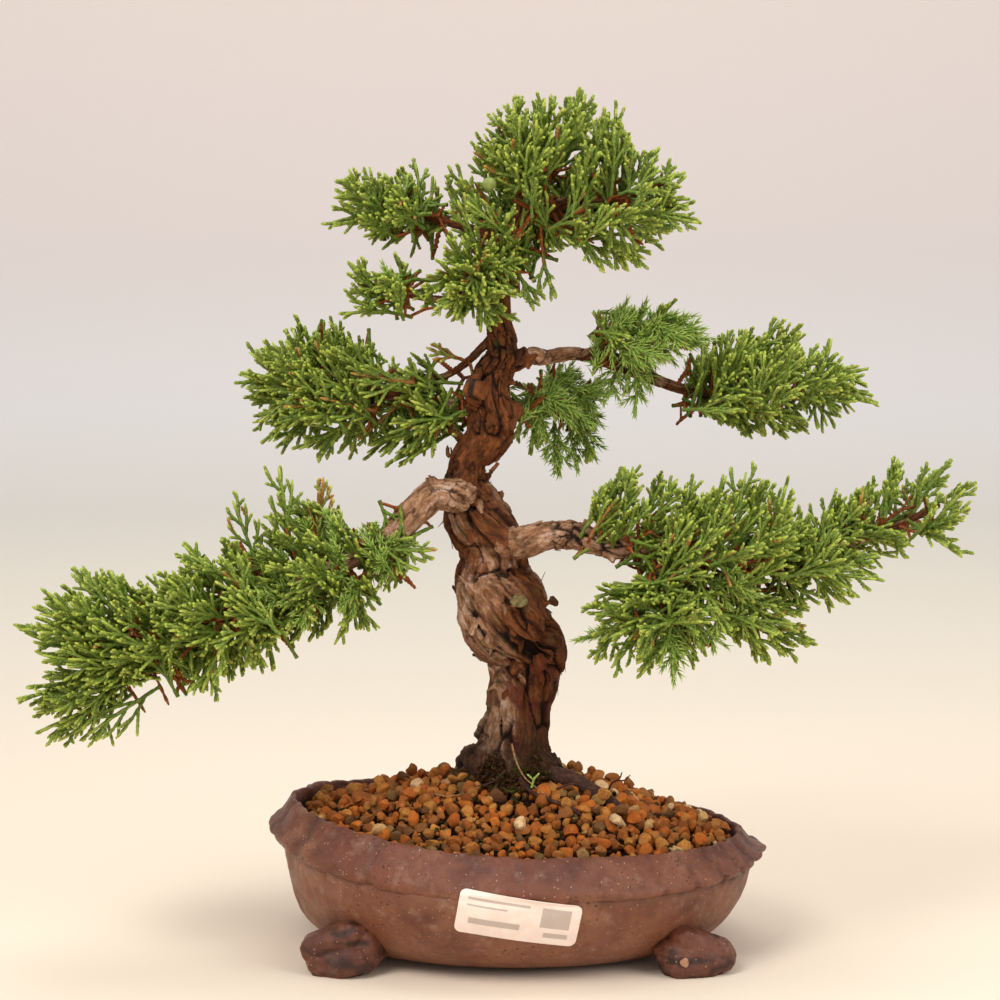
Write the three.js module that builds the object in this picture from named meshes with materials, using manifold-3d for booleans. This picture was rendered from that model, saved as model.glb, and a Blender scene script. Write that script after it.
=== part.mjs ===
// A juniper bonsai in a hand-built oval stoneware pot. Millimetres, +Z up, the front of the tree towards -Y.
// The pot stands on four folded clay feet. Its lip is a slab folded outwards, higher at its left end.
// Inside are two drainage meshes and a mounded bed of baked clay grains. The tree is placed from its trunk:
// roots and branches start on the trunk, and foliage pads sit along the branches.
import * as THREE from "three";
import { mergeVertices } from "three/addons/utils/BufferGeometryUtils.js";
import Module from "manifold-3d";

const wasm = await Module();
wasm.setup();

// ---------------------------------------------------------------- Driving dimensions
const CLEARANCE = 0.3; // between pieces that touch

// Pot
const POT_LENGTH = 180; // over the folded lip, along X
const POT_WIDTH = 141; // over the folded lip, along Y
const POT_HEIGHT = 45.5; // floor of the room to the inner edge of the rim, at the middle of the front
const BODY_BOTTOM = 2; // underside of the pot above the table
const WALL = 5.5;
const FLOOR = 5.5;
const LIP_OVERHANG = 4.5; // how far the folded lip stands out from the wall
const LIP_SLOPE = 8; // drop from the rim's inner edge to the lip's outer edge
const LIP_DEPTH = 13; // drop from the rim's inner edge to the lip's lower edge
const BELLY_DROP = 11; // from the rim's inner edge down to where the bowl is widest
const FLOOR_SHARE = 0.62; // the flat middle of the bowl, as a share of its radius
const BOWL_SQUARENESS = 2.2; // exponent of the curve from the floor up to the wall
const LEFT_END_RISE = 11; // the rim climbs this much at its left end
const RIGHT_END_FALL = 4.5; // and falls this much at its right end
const END_CURVE = 1.6; // how suddenly it does so
const LIFT_START = 14; // below this height the pot is level

// Feet: each is a roll of clay with a smaller fold against its outer side
const FOOT_LENGTH = 29;
const FOOT_WIDTH = 22;
const FOOT_HEIGHT = 18;
const FOOT_SPREAD_X = 60; // from the pot's centre to the middle of a roll
const FOOT_SPREAD_Y = 42;
const FOOT_TURN = 0.35; // radians, so that each foot follows the oval
const FOOT_SINK = 0.3; // share of a roll's height cut off flat

// Drainage
const DRAIN_DIAMETER = 14;
const DRAIN_SPACING = 60;
const MESH_SIZE = 24;
const MESH_THICKNESS = 1;
const MESH_HOLE = 3.4;
const MESH_PITCH = 5.2;
const MESH_HOLES = 4; // along each side

// Paper label
const LABEL_WIDTH = 41;
const LABEL_HEIGHT = 17;
const LABEL_THICKNESS = 0.4;
const LABEL_MIDDLE = 25.5; // above the table
const LABEL_TILT = -0.17; // radians
const LABEL_BRIDGE = 7; // the paper leaves the wall this far below the lip and runs out over it

// Soil
const SOIL_BELOW_RIM = 4;
const MOUND_HEIGHT = 19.5; // above the soil's edge
const MOUND_CURVE = 1.35;
const ROOT_DEPTH = 12; // how far the trunk goes down into the soil

// Tree
const TREE_HEIGHT = 230; // from the top of the soil to the end of the trunk
const TREE_FORWARD = 0; // the trunk's place along Y
const TREE_ASIDE = 0; // and along X

// ---------------------------------------------------------------- Materials
const finish = (color, roughness) => new THREE.MeshStandardMaterial({ color, roughness, metalness: 0 });
const stoneware = finish("#5b4038", 0.62);
const paper = finish("#f3e4d6", 0.7);
const plasticMesh = finish("#26292a", 0.6);
const bakedClay = finish("#a5652f", 0.95);
const moss = finish("#2b2c18", 1);
const bark = finish("#8d5d40", 0.85);
const rootBark = finish("#4e2f28", 0.8);
const scaleFoliage = finish("#3f7424", 0.6);
const needleFoliage = finish("#5c9a33", 0.6);

// ---------------------------------------------------------------- Geometry and solids
// A closed geometry as a manifold solid.
function solidOf(geometry) {
  const bare = new THREE.BufferGeometry();
  bare.setAttribute("position", geometry.getAttribute("position"));
  bare.setIndex(geometry.index);
  const merged = mergeVertices(bare, 1e-4);
  return new wasm.Manifold(
    new wasm.Mesh({
      numProp: 3,
      vertProperties: new Float32Array(merged.attributes.position.array),
      triVerts: new Uint32Array(merged.index.array),
    }),
  );
}

function geometryOf(solid) {
  const mesh = solid.getMesh();
  const geometry = new THREE.BufferGeometry();
  geometry.setAttribute("position", new THREE.BufferAttribute(mesh.vertProperties, 3));
  geometry.setIndex(new THREE.BufferAttribute(mesh.triVerts, 1));
  return geometry;
}

// Moves every vertex of a geometry by a function of its place.
function reshape(geometry, move) {
  const position = geometry.getAttribute("position");
  const point = new THREE.Vector3();
  for (let i = 0; i < position.count; i++) {
    point.fromBufferAttribute(position, i);
    move(point);
    position.setXYZ(i, point.x, point.y, point.z);
  }
  return geometry;
}

const group = new THREE.Group();

function addPiece(name, solid, material) {
  const mesh = new THREE.Mesh(geometryOf(solid), material);
  mesh.name = name;
  group.add(mesh);
}

// ---------------------------------------------------------------- Pot
const HALF_LENGTH = POT_LENGTH / 2;
const HALF_WIDTH = POT_WIDTH / 2;
const WALL_RADIUS = HALF_LENGTH - LIP_OVERHANG; // outside of the wall, along X
const BELLY_Z = POT_HEIGHT - BELLY_DROP;
const SEGMENTS = 32;
const EDGE_BAND = 20; // insets up to this keep a wall's thickness all the way round the oval

// How far the uneven rim stands above the level one at a place.
function rimLift(x, z) {
  const share = THREE.MathUtils.clamp((z - LIFT_START) / (POT_HEIGHT - LIFT_START), 0, 1);
  const end = Math.pow(Math.min(Math.abs(x) / HALF_LENGTH, 1), END_CURVE);
  return share * end * (x < 0 ? LEFT_END_RISE : -RIGHT_END_FALL);
}

// The pot and what fits it are made round, as wide as the pot is long, and then pressed to the oval and
// to the uneven rim.
function pressToOval(point) {
  const radius = Math.hypot(point.x, point.y);
  const inset = Math.min(Math.max(HALF_LENGTH - radius, 0), EDGE_BAND);
  point.y *= (HALF_WIDTH - inset) / (HALF_LENGTH - inset);
  point.z += rimLift(point.x, point.z);
}

// The radius of the bowl at a height, for a bowl of this reach and this lowest height.
function bowlRadius(z, reach, bottom) {
  const depth = THREE.MathUtils.clamp((BELLY_Z - z) / (BELLY_Z - bottom), 0, 1);
  const curve = Math.pow(1 - Math.pow(depth, BOWL_SQUARENESS), 1 / BOWL_SQUARENESS);
  return reach * (FLOOR_SHARE + (1 - FLOOR_SHARE) * curve);
}

// The bowl's curve from its lowest point up to its widest, as [radius, height] points.
function bowlCurve(reach, bottom, steps) {
  const points = [[0, bottom]];
  for (let i = 0; i <= steps; i++) {
    const angle = (Math.PI / 2) * (i / steps);
    const curve = Math.pow(Math.sin(angle), 2 / BOWL_SQUARENESS);
    const radius = reach * (FLOOR_SHARE + (1 - FLOOR_SHARE) * curve);
    const z = BELLY_Z - (BELLY_Z - bottom) * Math.pow(Math.cos(angle), 2 / BOWL_SQUARENESS);
    points.push([radius, z]);
  }
  return points;
}

// A closed profile turned round the pot's axis. It starts on the axis at the bottom and ends on it.
function turned(profile) {
  const points = profile.map(([radius, z]) => new THREE.Vector2(Math.max(radius, 0), z));
  return reshape(new THREE.LatheGeometry(points, SEGMENTS).rotateX(Math.PI / 2), pressToOval);
}

function lipCurve(grow) {
  return [
    [WALL_RADIUS + grow, POT_HEIGHT - LIP_DEPTH - 1],
    [HALF_LENGTH - 1 + grow, POT_HEIGHT - LIP_DEPTH],
    [HALF_LENGTH + grow, POT_HEIGHT - LIP_SLOPE],
    [HALF_LENGTH - 4 + grow, POT_HEIGHT - LIP_SLOPE / 2 + grow],
    [WALL_RADIUS - WALL + 1, POT_HEIGHT + grow],
  ];
}

// The outside of the pot with no hollow in it, grown by a clearance, to cut what touches the pot.
function potEnvelope(grow) {
  return solidOf(
    turned([
      ...bowlCurve(WALL_RADIUS + grow, BODY_BOTTOM - grow, 6),
      ...lipCurve(grow),
      [0, POT_HEIGHT + grow],
    ]),
  );
}

// The hollow of the pot, shrunk by a clearance, from its floor up to where it is widest.
function cavityCurve(shrink) {
  return bowlCurve(WALL_RADIUS - WALL - shrink, BODY_BOTTOM + FLOOR + shrink, 6);
}

function upright(diameter, height, x, y, z) {
  return solidOf(
    new THREE.CylinderGeometry(diameter / 2, diameter / 2, height, 16)
      .rotateX(Math.PI / 2)
      .translate(x, y, z),
  );
}

function box(width, depth, height, x, y, z) {
  return solidOf(new THREE.BoxGeometry(width, depth, height).translate(x, y, z));
}

function makePotBody() {
  const inner = cavityCurve(0).reverse();
  let body = solidOf(
    turned([
      ...bowlCurve(WALL_RADIUS, BODY_BOTTOM, 6),
      ...lipCurve(0),
      [WALL_RADIUS - WALL, POT_HEIGHT - 3],
      ...inner,
    ]),
  );
  for (const side of [-1, 1]) {
    body = body.subtract(upright(DRAIN_DIAMETER, 4 * FLOOR, (side * DRAIN_SPACING) / 2, 0, BODY_BOTTOM));
  }
  return body;
}
addPiece("pot_body", makePotBody(), stoneware);

// ---------------------------------------------------------------- Feet
// Two rolls of clay side by side, flat underneath, with their tops cut to the bowl.
function makeFoot(sideX, sideY) {
  const roll = (along, length, width, height) =>
    solidOf(
      new THREE.SphereGeometry(0.5, 14, 9)
        .rotateX(Math.PI / 2)
        .scale(length, width, height)
        .translate(along, 0, height * (0.5 - FOOT_SINK))
        .rotateZ(-sideX * sideY * FOOT_TURN)
        .translate(sideX * FOOT_SPREAD_X, sideY * FOOT_SPREAD_Y, 0),
    );
  const full = FOOT_HEIGHT / (1 - FOOT_SINK);
  const lump = roll(0, FOOT_LENGTH * 0.85, FOOT_WIDTH, full).add(
    roll(sideX * FOOT_LENGTH * 0.33, FOOT_LENGTH * 0.5, FOOT_WIDTH * 0.85, full * 0.7),
  );
  return lump.trimByPlane([0, 0, 1], 0).subtract(potEnvelope(CLEARANCE));
}
addPiece("foot_front_left", makeFoot(-1, -1), stoneware);
addPiece("foot_front_right", makeFoot(1, -1), stoneware);
addPiece("foot_back_left", makeFoot(-1, 1), stoneware);
addPiece("foot_back_right", makeFoot(1, 1), stoneware);

// ---------------------------------------------------------------- Drainage meshes
const MESH_Z = BODY_BOTTOM + FLOOR + CLEARANCE + MESH_THICKNESS / 2;

function makeDrainMesh(x) {
  let sheet = box(MESH_SIZE, MESH_SIZE, MESH_THICKNESS, x, 0, MESH_Z);
  const first = (-(MESH_HOLES - 1) * MESH_PITCH) / 2;
  for (let row = 0; row < MESH_HOLES; row++) {
    for (let column = 0; column < MESH_HOLES; column++) {
      const holeX = x + first + column * MESH_PITCH;
      const holeY = first + row * MESH_PITCH;
      sheet = sheet.subtract(box(MESH_HOLE, MESH_HOLE, 3 * MESH_THICKNESS, holeX, holeY, MESH_Z));
    }
  }
  return sheet;
}
addPiece("drain_mesh_left", makeDrainMesh(-DRAIN_SPACING / 2), plasticMesh);
addPiece("drain_mesh_right", makeDrainMesh(DRAIN_SPACING / 2), plasticMesh);

// ---------------------------------------------------------------- Label
// How far out the back of the label is at a height: on the wall, then bridging out over the lip.
function labelRadius(z) {
  const share = THREE.MathUtils.clamp((z - (POT_HEIGHT - LIP_DEPTH - 1)) / LABEL_BRIDGE + 1, 0, 1);
  const wall = bowlRadius(z, WALL_RADIUS, BODY_BOTTOM);
  return THREE.MathUtils.lerp(wall, HALF_LENGTH, share) + 2 * CLEARANCE;
}

// A flat card bent round the front of the pot.
function makeLabel() {
  const card = new THREE.BoxGeometry(LABEL_WIDTH, LABEL_THICKNESS, LABEL_HEIGHT, 10, 1, 8);
  reshape(card, (point) => {
    const across = point.x * Math.cos(LABEL_TILT) - point.z * Math.sin(LABEL_TILT);
    const z = LABEL_MIDDLE + point.x * Math.sin(LABEL_TILT) + point.z * Math.cos(LABEL_TILT);
    const out = labelRadius(z) + LABEL_THICKNESS / 2 - point.y;
    point.set(across, -Math.sqrt(out * out - across * across), z);
    pressToOval(point);
  });
  return solidOf(card);
}
addPiece("label", makeLabel(), paper);

// ---------------------------------------------------------------- Trunk
const SOIL_TOP = POT_HEIGHT - SOIL_BELOW_RIM + MOUND_HEIGHT;

// [share of the tree's height, aside, back, radius]
const trunkStations = [
  [-ROOT_DEPTH / TREE_HEIGHT, -4, 0, 17],
  [0.0, -4, 0, 17],
  [0.035, -2.5, 0, 14.5],
  [0.09, 0, 1, 12.2],
  [0.157, 2.4, 3, 12.3],
  [0.209, 2, 2, 14.2],
  [0.252, -3.5, -1, 17.2],
  [0.287, -6, -2, 16.6],
  [0.34, -9, 0, 13],
  [0.4, -13.5, 2, 12],
  [0.47, -19, 4, 9.2],
  [0.504, -16.8, 5, 7.8],
  [0.557, -9, 4, 7.8],
  [0.626, -8, 3, 7],
  [0.665, -5, 2, 6.6],
  [0.722, -6.5, 0, 4.4],
  [0.817, -4, 0, 3.2],
  [0.904, 3, 0, 2.4],
  [1.0, 5, 1, 1.2],
];

// A limb's centreline with its radius at each station.
function makeLine(points, radii) {
  const curve = new THREE.CatmullRomCurve3(points, false, "centripetal");
  const spans = points.length - 1;
  const radiusAt = (t) => {
    const at = Math.min(Math.max(t, 0), 1) * spans;
    const from = Math.min(Math.floor(at), spans - 1);
    const blend = at - from;
    return radii[from] * (1 - blend) + radii[from + 1] * blend;
  };
  return { curve, radiusAt };
}

// A cylinder bent along a limb's centreline and given its radius at each step.
function makeLimb(line, sides, steps, grow) {
  const frames = { points: [], normals: [], binormals: [] };
  const tangent = new THREE.Vector3();
  let normal = null;
  for (let i = 0; i <= steps; i++) {
    line.curve.getTangent(i / steps, tangent);
    if (!normal) {
      normal = new THREE.Vector3(Math.abs(tangent.x) < 0.8 ? 1 : 0, Math.abs(tangent.x) < 0.8 ? 0 : 1, 0);
    }
    normal = normal.clone().addScaledVector(tangent, -normal.dot(tangent)).normalize();
    frames.points.push(line.curve.getPoint(i / steps));
    frames.normals.push(normal);
    frames.binormals.push(new THREE.Vector3().crossVectors(tangent, normal));
  }
  frames.points[0].addScaledVector(line.curve.getTangent(0), -grow);
  frames.points[steps].addScaledVector(line.curve.getTangent(1), grow);
  const cylinder = new THREE.CylinderGeometry(1, 1, 1, sides, steps);
  reshape(cylinder, (point) => {
    const step = Math.round((point.y + 0.5) * steps);
    const radius = line.radiusAt(step / steps) + grow;
    const { x, z } = point;
    point
      .copy(frames.points[step])
      .addScaledVector(frames.normals[step], z * radius)
      .addScaledVector(frames.binormals[step], x * radius);
  });
  return solidOf(cylinder);
}

const trunkLine = makeLine(
  trunkStations.map(
    ([share, aside, back]) =>
      new THREE.Vector3(TREE_ASIDE + aside, TREE_FORWARD + back, SOIL_TOP + share * TREE_HEIGHT),
  ),
  trunkStations.map((station) => station[3]),
);

// The trunk's parameter at a share of the tree's height.
function trunkAt(share) {
  const next = trunkStations.findIndex((station) => station[0] >= share);
  const [low, high] = [trunkStations[next - 1][0], trunkStations[next][0]];
  return (next - 1 + (share - low) / (high - low)) / (trunkStations.length - 1);
}

const trunk = { line: trunkLine, sides: 12, steps: 36 };
const limbSolid = (limb, grow) => makeLimb(limb.line, limb.sides, limb.steps, grow);
addPiece("trunk", limbSolid(trunk, 0), bark);

// ---------------------------------------------------------------- Branches and roots
// Every limb starts on its parent's centreline and is cut back to the parent's surface.
const limbs = new Map([["trunk", trunk]]);

function addLimb(name, parentName, t, offsets, radii, material, sides = 7) {
  const parent = limbs.get(parentName);
  const start = parent.line.curve.getPoint(t);
  const points = [start, ...offsets.map(([x, y, z]) => start.clone().add(new THREE.Vector3(x, y, z)))];
  const limb = { line: makeLine(points, radii), sides, steps: 2 * offsets.length + 2 };
  let solid = limbSolid(limb, 0);
  for (const other of limbs.values()) {
    solid = solid.subtract(limbSolid(other, CLEARANCE));
  }
  limbs.set(name, limb);
  addPiece(name, solid, material);
}

addLimb("branch_lower_left", "trunk", trunkAt(0.44),
  [[-8, -10, 1.5], [-14, -15, 3.5], [-24, -19, -7], [-40, -23, -18], [-60, -27, -27], [-82, -31, -36],
   [-107, -33, -46], [-130, -34, -56]],
  [6, 5.8, 5.3, 4.4, 3.2, 2.6, 2, 1.5, 1], bark, 8);
addLimb("branch_lower_right", "trunk", trunkAt(0.37),
  [[15, -13, 3], [26, -17, 5], [37, -19, 3], [58, -21, 1], [76, -21, -1], [98, -16, -4], [123, -9, 1],
   [142, -1, 4], [163, 4, 14]],
  [6, 5.2, 4.5, 4, 3.4, 2.9, 2.4, 1.9, 1.5, 1], bark, 8);
addLimb("branch_lower_right_drop", "branch_lower_right", 4 / 9,
  [[4, -6, -8], [5, -12, -16], [2, -15, -27]],
  [2.8, 2.5, 1.9, 1.1], bark);
addLimb("branch_middle_left", "trunk", trunkAt(0.587),
  [[-16, 6, 0], [-27, 12, 1], [-42, 16, 3], [-60, 20, 4.5], [-79, 22, 6]],
  [2.8, 2.4, 2.2, 1.8, 1.4, 0.9], bark);
addLimb("twig_middle_left", "trunk", trunkAt(0.712),
  [[-8, 4, -7], [-13, 8, -12], [-19, 11, -17], [-26, 10, -19], [-40, 8, -16]],
  [1.6, 1.5, 1.3, 1.2, 1.1, 0.8], bark);
addLimb("branch_middle_right", "trunk", trunkAt(0.661),
  [[13, 8, 0], [28, 12, 1], [46, 16, -5], [69, 20, -13], [95, 23, -14], [117, 26, -11], [126, 28, -8]],
  [3.2, 2.8, 2.4, 2.3, 2.2, 1.6, 1.1, 0.8], bark);
addLimb("twig_middle_right", "branch_middle_right", 2 / 7,
  [[11, 3, 4], [22, 4, 5], [33, 5, 6]],
  [1.7, 1.5, 1.2, 0.8], bark);
addLimb("branch_small_right", "trunk", trunkAt(0.574),
  [[13.5, 12, 0], [20, 20, 1], [29, 28, -2], [36, 32, -8]],
  [2.6, 2.2, 2, 1.5, 0.9], bark);
addLimb("branch_upper_left", "trunk", trunkAt(0.755),
  [[-15, -4, -1], [-22, -6, 0], [-31, -8, 1], [-39, -10, 4], [-49, -10, 6]],
  [2.2, 1.8, 1.6, 1.4, 1.1, 0.8], bark);
addLimb("branch_crown_front", "trunk", trunkAt(0.8),
  [[-6, -8, 1], [-12, -18, -2], [-15, -26, -8]],
  [1.9, 1.7, 1.3, 0.8], bark);
addLimb("branch_crown_left", "trunk", trunkAt(0.843),
  [[-18, 4, 6], [-33, 8, 10], [-47, 10, 14], [-56, 12, 16]],
  [2, 1.8, 1.4, 1.1, 0.8], bark);
addLimb("branch_crown_right", "trunk", trunkAt(0.87),
  [[7, -2, 5], [18, -4, 9], [29, -6, 10], [42, -8, 12], [51, -8, 16]],
  [2.3, 2.2, 2, 1.7, 1.2, 0.8], bark);
addLimb("branch_crown_back", "trunk", trunkAt(0.89),
  [[2, 12, 4], [6, 24, 6], [8, 32, 4]],
  [1.9, 1.7, 1.3, 0.8], bark);
addLimb("root_right", "trunk", trunkAt(0.01),
  [[14, -7, -1], [26, -11, -4], [36, -15, -10], [42, -18, -16]],
  [5.5, 4.5, 3.4, 2.6, 1.8], rootBark, 8);
addLimb("root_front", "trunk", trunkAt(0.01),
  [[2, -14, -4], [8, -22, -7.5], [20, -28, -11], [30, -32, -17]],
  [5, 3.4, 2, 1.7, 1.2], rootBark, 8);
addLimb("root_left", "trunk", trunkAt(0.01),
  [[-14, -5, -2], [-24, -8, -8], [-31, -9, -15]],
  [5.5, 4.4, 3, 2], rootBark, 8);

// ---------------------------------------------------------------- Soil and moss
// A mounded bed that fits the hollow, with pockets for the trunk, the roots and the drainage meshes.
function soilShape(grow) {
  const edge = WALL_RADIUS - WALL - CLEARANCE;
  const edgeZ = POT_HEIGHT - SOIL_BELOW_RIM;
  const top = [];
  const steps = 6;
  for (let i = 0; i <= steps; i++) {
    const share = 1 - i / steps;
    top.push([edge * share, edgeZ + MOUND_HEIGHT * (1 - Math.pow(share, MOUND_CURVE)) + grow]);
  }
  return solidOf(turned([...cavityCurve(CLEARANCE), ...top]));
}

function makeSoil() {
  let soil = soilShape(0);
  for (const name of ["trunk", "root_right", "root_front", "root_left"]) {
    soil = soil.subtract(limbSolid(limbs.get(name), CLEARANCE));
  }
  const pocket = MESH_SIZE + 2 * CLEARANCE;
  const depth = 2 * (MESH_THICKNESS + 2 * CLEARANCE);
  const pocketTop = MESH_Z + MESH_THICKNESS / 2 + CLEARANCE;
  for (const side of [-1, 1]) {
    soil = soil.subtract(
      box(pocket, pocket, depth, (side * DRAIN_SPACING) / 2, 0, pocketTop - depth / 2),
    );
  }
  return soil;
}
addPiece("soil_bed", makeSoil(), bakedClay);

// An egg shape with its own three radii.
function egg(center, [x, y, z], around = 10, up = 7) {
  return solidOf(
    new THREE.SphereGeometry(1, around, up)
      .rotateX(Math.PI / 2)
      .scale(x, y, z)
      .translate(center.x, center.y, center.z),
  );
}

// Moss and old compost banked round the foot of the trunk.
function makeMoss() {
  const foot = trunkLine.curve.getPoint(trunkAt(0));
  const reach = trunkStations[1][3];
  let bank = egg(foot, [reach + 5, reach + 4, 6.5], 16, 8);
  for (const name of ["trunk", "root_right", "root_front", "root_left"]) {
    bank = bank.subtract(limbSolid(limbs.get(name), CLEARANCE));
  }
  bank = bank.subtract(soilShape(CLEARANCE));
  return bank.decompose().reduce((most, part) => (part.volume() > most.volume() ? part : most));
}
addPiece("moss_bank", makeMoss(), moss);

// ---------------------------------------------------------------- Foliage
// Each pad is a union of eggs placed along its branch: [share along the branch, aside, back, up, [radii]].
const pads = [];

function padShape(pad, grow) {
  const { curve } = limbs.get(pad.branch).line;
  return pad.lumps
    .map(([t, x, y, z, radii]) =>
      egg(curve.getPoint(t).add(new THREE.Vector3(x, y, z)), radii.map((r) => r + grow)))
    .reduce((sum, lump) => sum.add(lump));
}

function addPad(name, branch, material, lumps) {
  const pad = { branch, lumps };
  let solid = padShape(pad, 0);
  for (const limb of limbs.values()) {
    solid = solid.subtract(limbSolid(limb, CLEARANCE));
  }
  for (const other of pads) {
    solid = solid.subtract(padShape(other, CLEARANCE));
  }
  pads.push(pad);
  addPiece(name, solid, material);
}

addPad("pad_lower_left_inner", "branch_lower_left", scaleFoliage, [
  [0.6, 0, 2, 2, [23, 26, 27]],
  [0.56, 12, 0, 4, [16, 17, 12]],
]);
addPad("pad_lower_left_middle", "branch_lower_left", scaleFoliage, [
  [0.8, 2, 2, 3, [24, 30, 26]],
]);
addPad("pad_lower_left_outer", "branch_lower_left", scaleFoliage, [
  [1, 2, 2, 13, [27, 26, 21]],
  [1, -12, 0, -10, [15, 15, 15]],
]);
addPad("pad_lower_right_inner", "branch_lower_right", scaleFoliage, [
  [4 / 9, -2, 2, 17, [16, 18, 12]],
]);
addPad("pad_lower_right_low", "branch_lower_right_drop", scaleFoliage, [
  [1, 0, 2, 3, [26, 24, 16]],
]);
addPad("pad_lower_right_middle", "branch_lower_right", scaleFoliage, [
  [0.6, 4, 0, 6, [28, 32, 23]],
  [0.66, 4, 2, -18, [17, 20, 13]],
]);
addPad("pad_lower_right_outer", "branch_lower_right", scaleFoliage, [
  [7 / 9, 2, -2, -1, [17, 22, 19]],
]);
addPad("pad_lower_right_tip", "branch_lower_right", scaleFoliage, [
  [1, -8, -2, 0, [23, 20, 19]],
]);
addPad("pad_middle_left", "branch_middle_left", scaleFoliage, [
  [0.84, -2, 0, 1, [27, 32, 23]],
  [0.5, -4, -2, -3, [20, 24, 19]],
]);
addPad("pad_middle_right_inner", "twig_middle_right", needleFoliage, [
  [1, -6, -3, -1, [21, 22, 14]],
]);
addPad("pad_middle_right_outer", "branch_middle_right", scaleFoliage, [
  [0.7, 2, 0, 6, [24, 30, 20]],
  [0.92, -5, -2, -2, [18, 22, 16]],
]);
addPad("pad_small_right", "branch_small_right", needleFoliage, [
  [0.8, -4, -4, 0, [18, 18, 19]],
]);
addPad("pad_upper_left", "branch_upper_left", scaleFoliage, [
  [0.9, 3, 0, 2, [17, 16, 9]],
]);
addPad("pad_crown_front", "branch_crown_front", scaleFoliage, [
  [0.8, 3, 4, 3, [17, 15, 17]],
]);
addPad("pad_crown_left", "branch_crown_left", scaleFoliage, [
  [0.8, 4, -2, 0, [22, 20, 13]],
]);
addPad("pad_crown_right", "branch_crown_right", scaleFoliage, [
  [0.8, -5, 2, -5, [25, 26, 21]],
]);
addPad("pad_crown_top", "trunk", scaleFoliage, [
  [1, 9, 0, -3, [29, 28, 20]],
  [0.97, -14, 0, -10, [18, 22, 16]],
]);
addPad("pad_crown_back", "branch_crown_back", scaleFoliage, [
  [1, 0, -2, -2, [22, 18, 16]],
]);

// ---------------------------------------------------------------- Frame
// The origin is under the middle of the whole tree, on the table.
const extent = new THREE.Box3().setFromObject(group);
group.position.set(-(extent.min.x + extent.max.x) / 2, -(extent.min.y + extent.max.y) / 2, -extent.min.z);

export default group;
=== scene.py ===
"""A juniper bonsai in a hand-built oval stoneware pot.

Shapes are drawn in millimetres round the pot's centre, +Z up and the front towards -Y, and then settled
into the frame in metres. The foliage grows on the frame's own branches and pads.
"""

import math

import bpy
import numpy as np
from mathutils import Matrix, Vector
from mathutils.kdtree import KDTree


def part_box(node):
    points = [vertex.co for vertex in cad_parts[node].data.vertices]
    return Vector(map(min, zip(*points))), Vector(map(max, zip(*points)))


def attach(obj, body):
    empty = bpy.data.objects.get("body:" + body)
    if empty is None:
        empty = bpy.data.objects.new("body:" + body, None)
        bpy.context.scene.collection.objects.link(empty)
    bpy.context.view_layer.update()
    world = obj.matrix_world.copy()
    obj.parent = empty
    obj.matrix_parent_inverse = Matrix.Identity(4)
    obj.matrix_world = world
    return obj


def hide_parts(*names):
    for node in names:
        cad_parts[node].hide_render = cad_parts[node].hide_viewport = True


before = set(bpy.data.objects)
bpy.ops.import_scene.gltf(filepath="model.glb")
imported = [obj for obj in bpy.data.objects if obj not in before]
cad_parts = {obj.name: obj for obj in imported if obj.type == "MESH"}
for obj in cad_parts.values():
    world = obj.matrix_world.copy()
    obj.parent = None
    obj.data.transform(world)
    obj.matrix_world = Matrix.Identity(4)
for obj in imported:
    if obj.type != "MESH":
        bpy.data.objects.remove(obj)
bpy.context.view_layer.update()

MM = 0.001
pot_low, pot_high = (np.array(corner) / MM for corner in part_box("pot_body"))
POT_CENTRE = np.array([(pot_low[0] + pot_high[0]) / 2, (pot_low[1] + pot_high[1]) / 2, 0.0])
HALF_LENGTH, HALF_WIDTH = ((pot_high - pot_low) / 2)[:2]
INTO_FRAME = Matrix.Scale(MM, 4) @ Matrix.Translation(Vector(POT_CENTRE))


# ------------------------------------------------------------------------------------------ Small tools
def deselect():
    if bpy.context.object and bpy.context.object.mode != "OBJECT":
        bpy.ops.object.mode_set(mode="OBJECT")
    bpy.ops.object.select_all(action="DESELECT")


def pick(piece):
    deselect()
    piece.select_set(True)
    bpy.context.view_layer.objects.active = piece


def points_of(piece):
    """A piece's points as rows of millimetres."""
    flat = np.empty(len(piece.data.vertices) * 3, dtype=np.float32)
    piece.data.vertices.foreach_get("co", flat)
    return flat.reshape(-1, 3).astype(float)


def normals_of(piece):
    flat = np.empty(len(piece.data.vertices) * 3, dtype=np.float32)
    piece.data.vertices.foreach_get("normal", flat)
    return flat.reshape(-1, 3).astype(float)


def move_points(piece, points):
    piece.data.vertices.foreach_set("co", np.asarray(points, dtype=np.float32).ravel())
    piece.data.update()


def raise_skin(piece, height):
    """Moves each point outwards by its own height."""
    move_points(piece, points_of(piece) + normals_of(piece) * height[:, None])


def shape_of(piece):
    """A piece's points and faces as arrays. The piece itself is removed."""
    points = points_of(piece)
    faces = np.array([polygon.vertices[:] for polygon in piece.data.polygons])
    bpy.data.objects.remove(piece)
    return points, faces


def node_box(node):
    """The lowest and highest corner of a node of the frame, in mm round the pot's centre."""
    return (np.array(corner) / MM - POT_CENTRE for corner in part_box(node))


def mark(piece, name, values):
    """Keeps one number for each point of a piece, for its material to read."""
    layer = piece.data.attributes.new(name, "FLOAT", "POINT")
    layer.data.foreach_set("value", np.asarray(values, dtype=np.float32))


def mark_vector(piece, name, values):
    layer = piece.data.attributes.new(name, "FLOAT_VECTOR", "POINT")
    layer.data.foreach_set("vector", np.asarray(values, dtype=np.float32).ravel())


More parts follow.
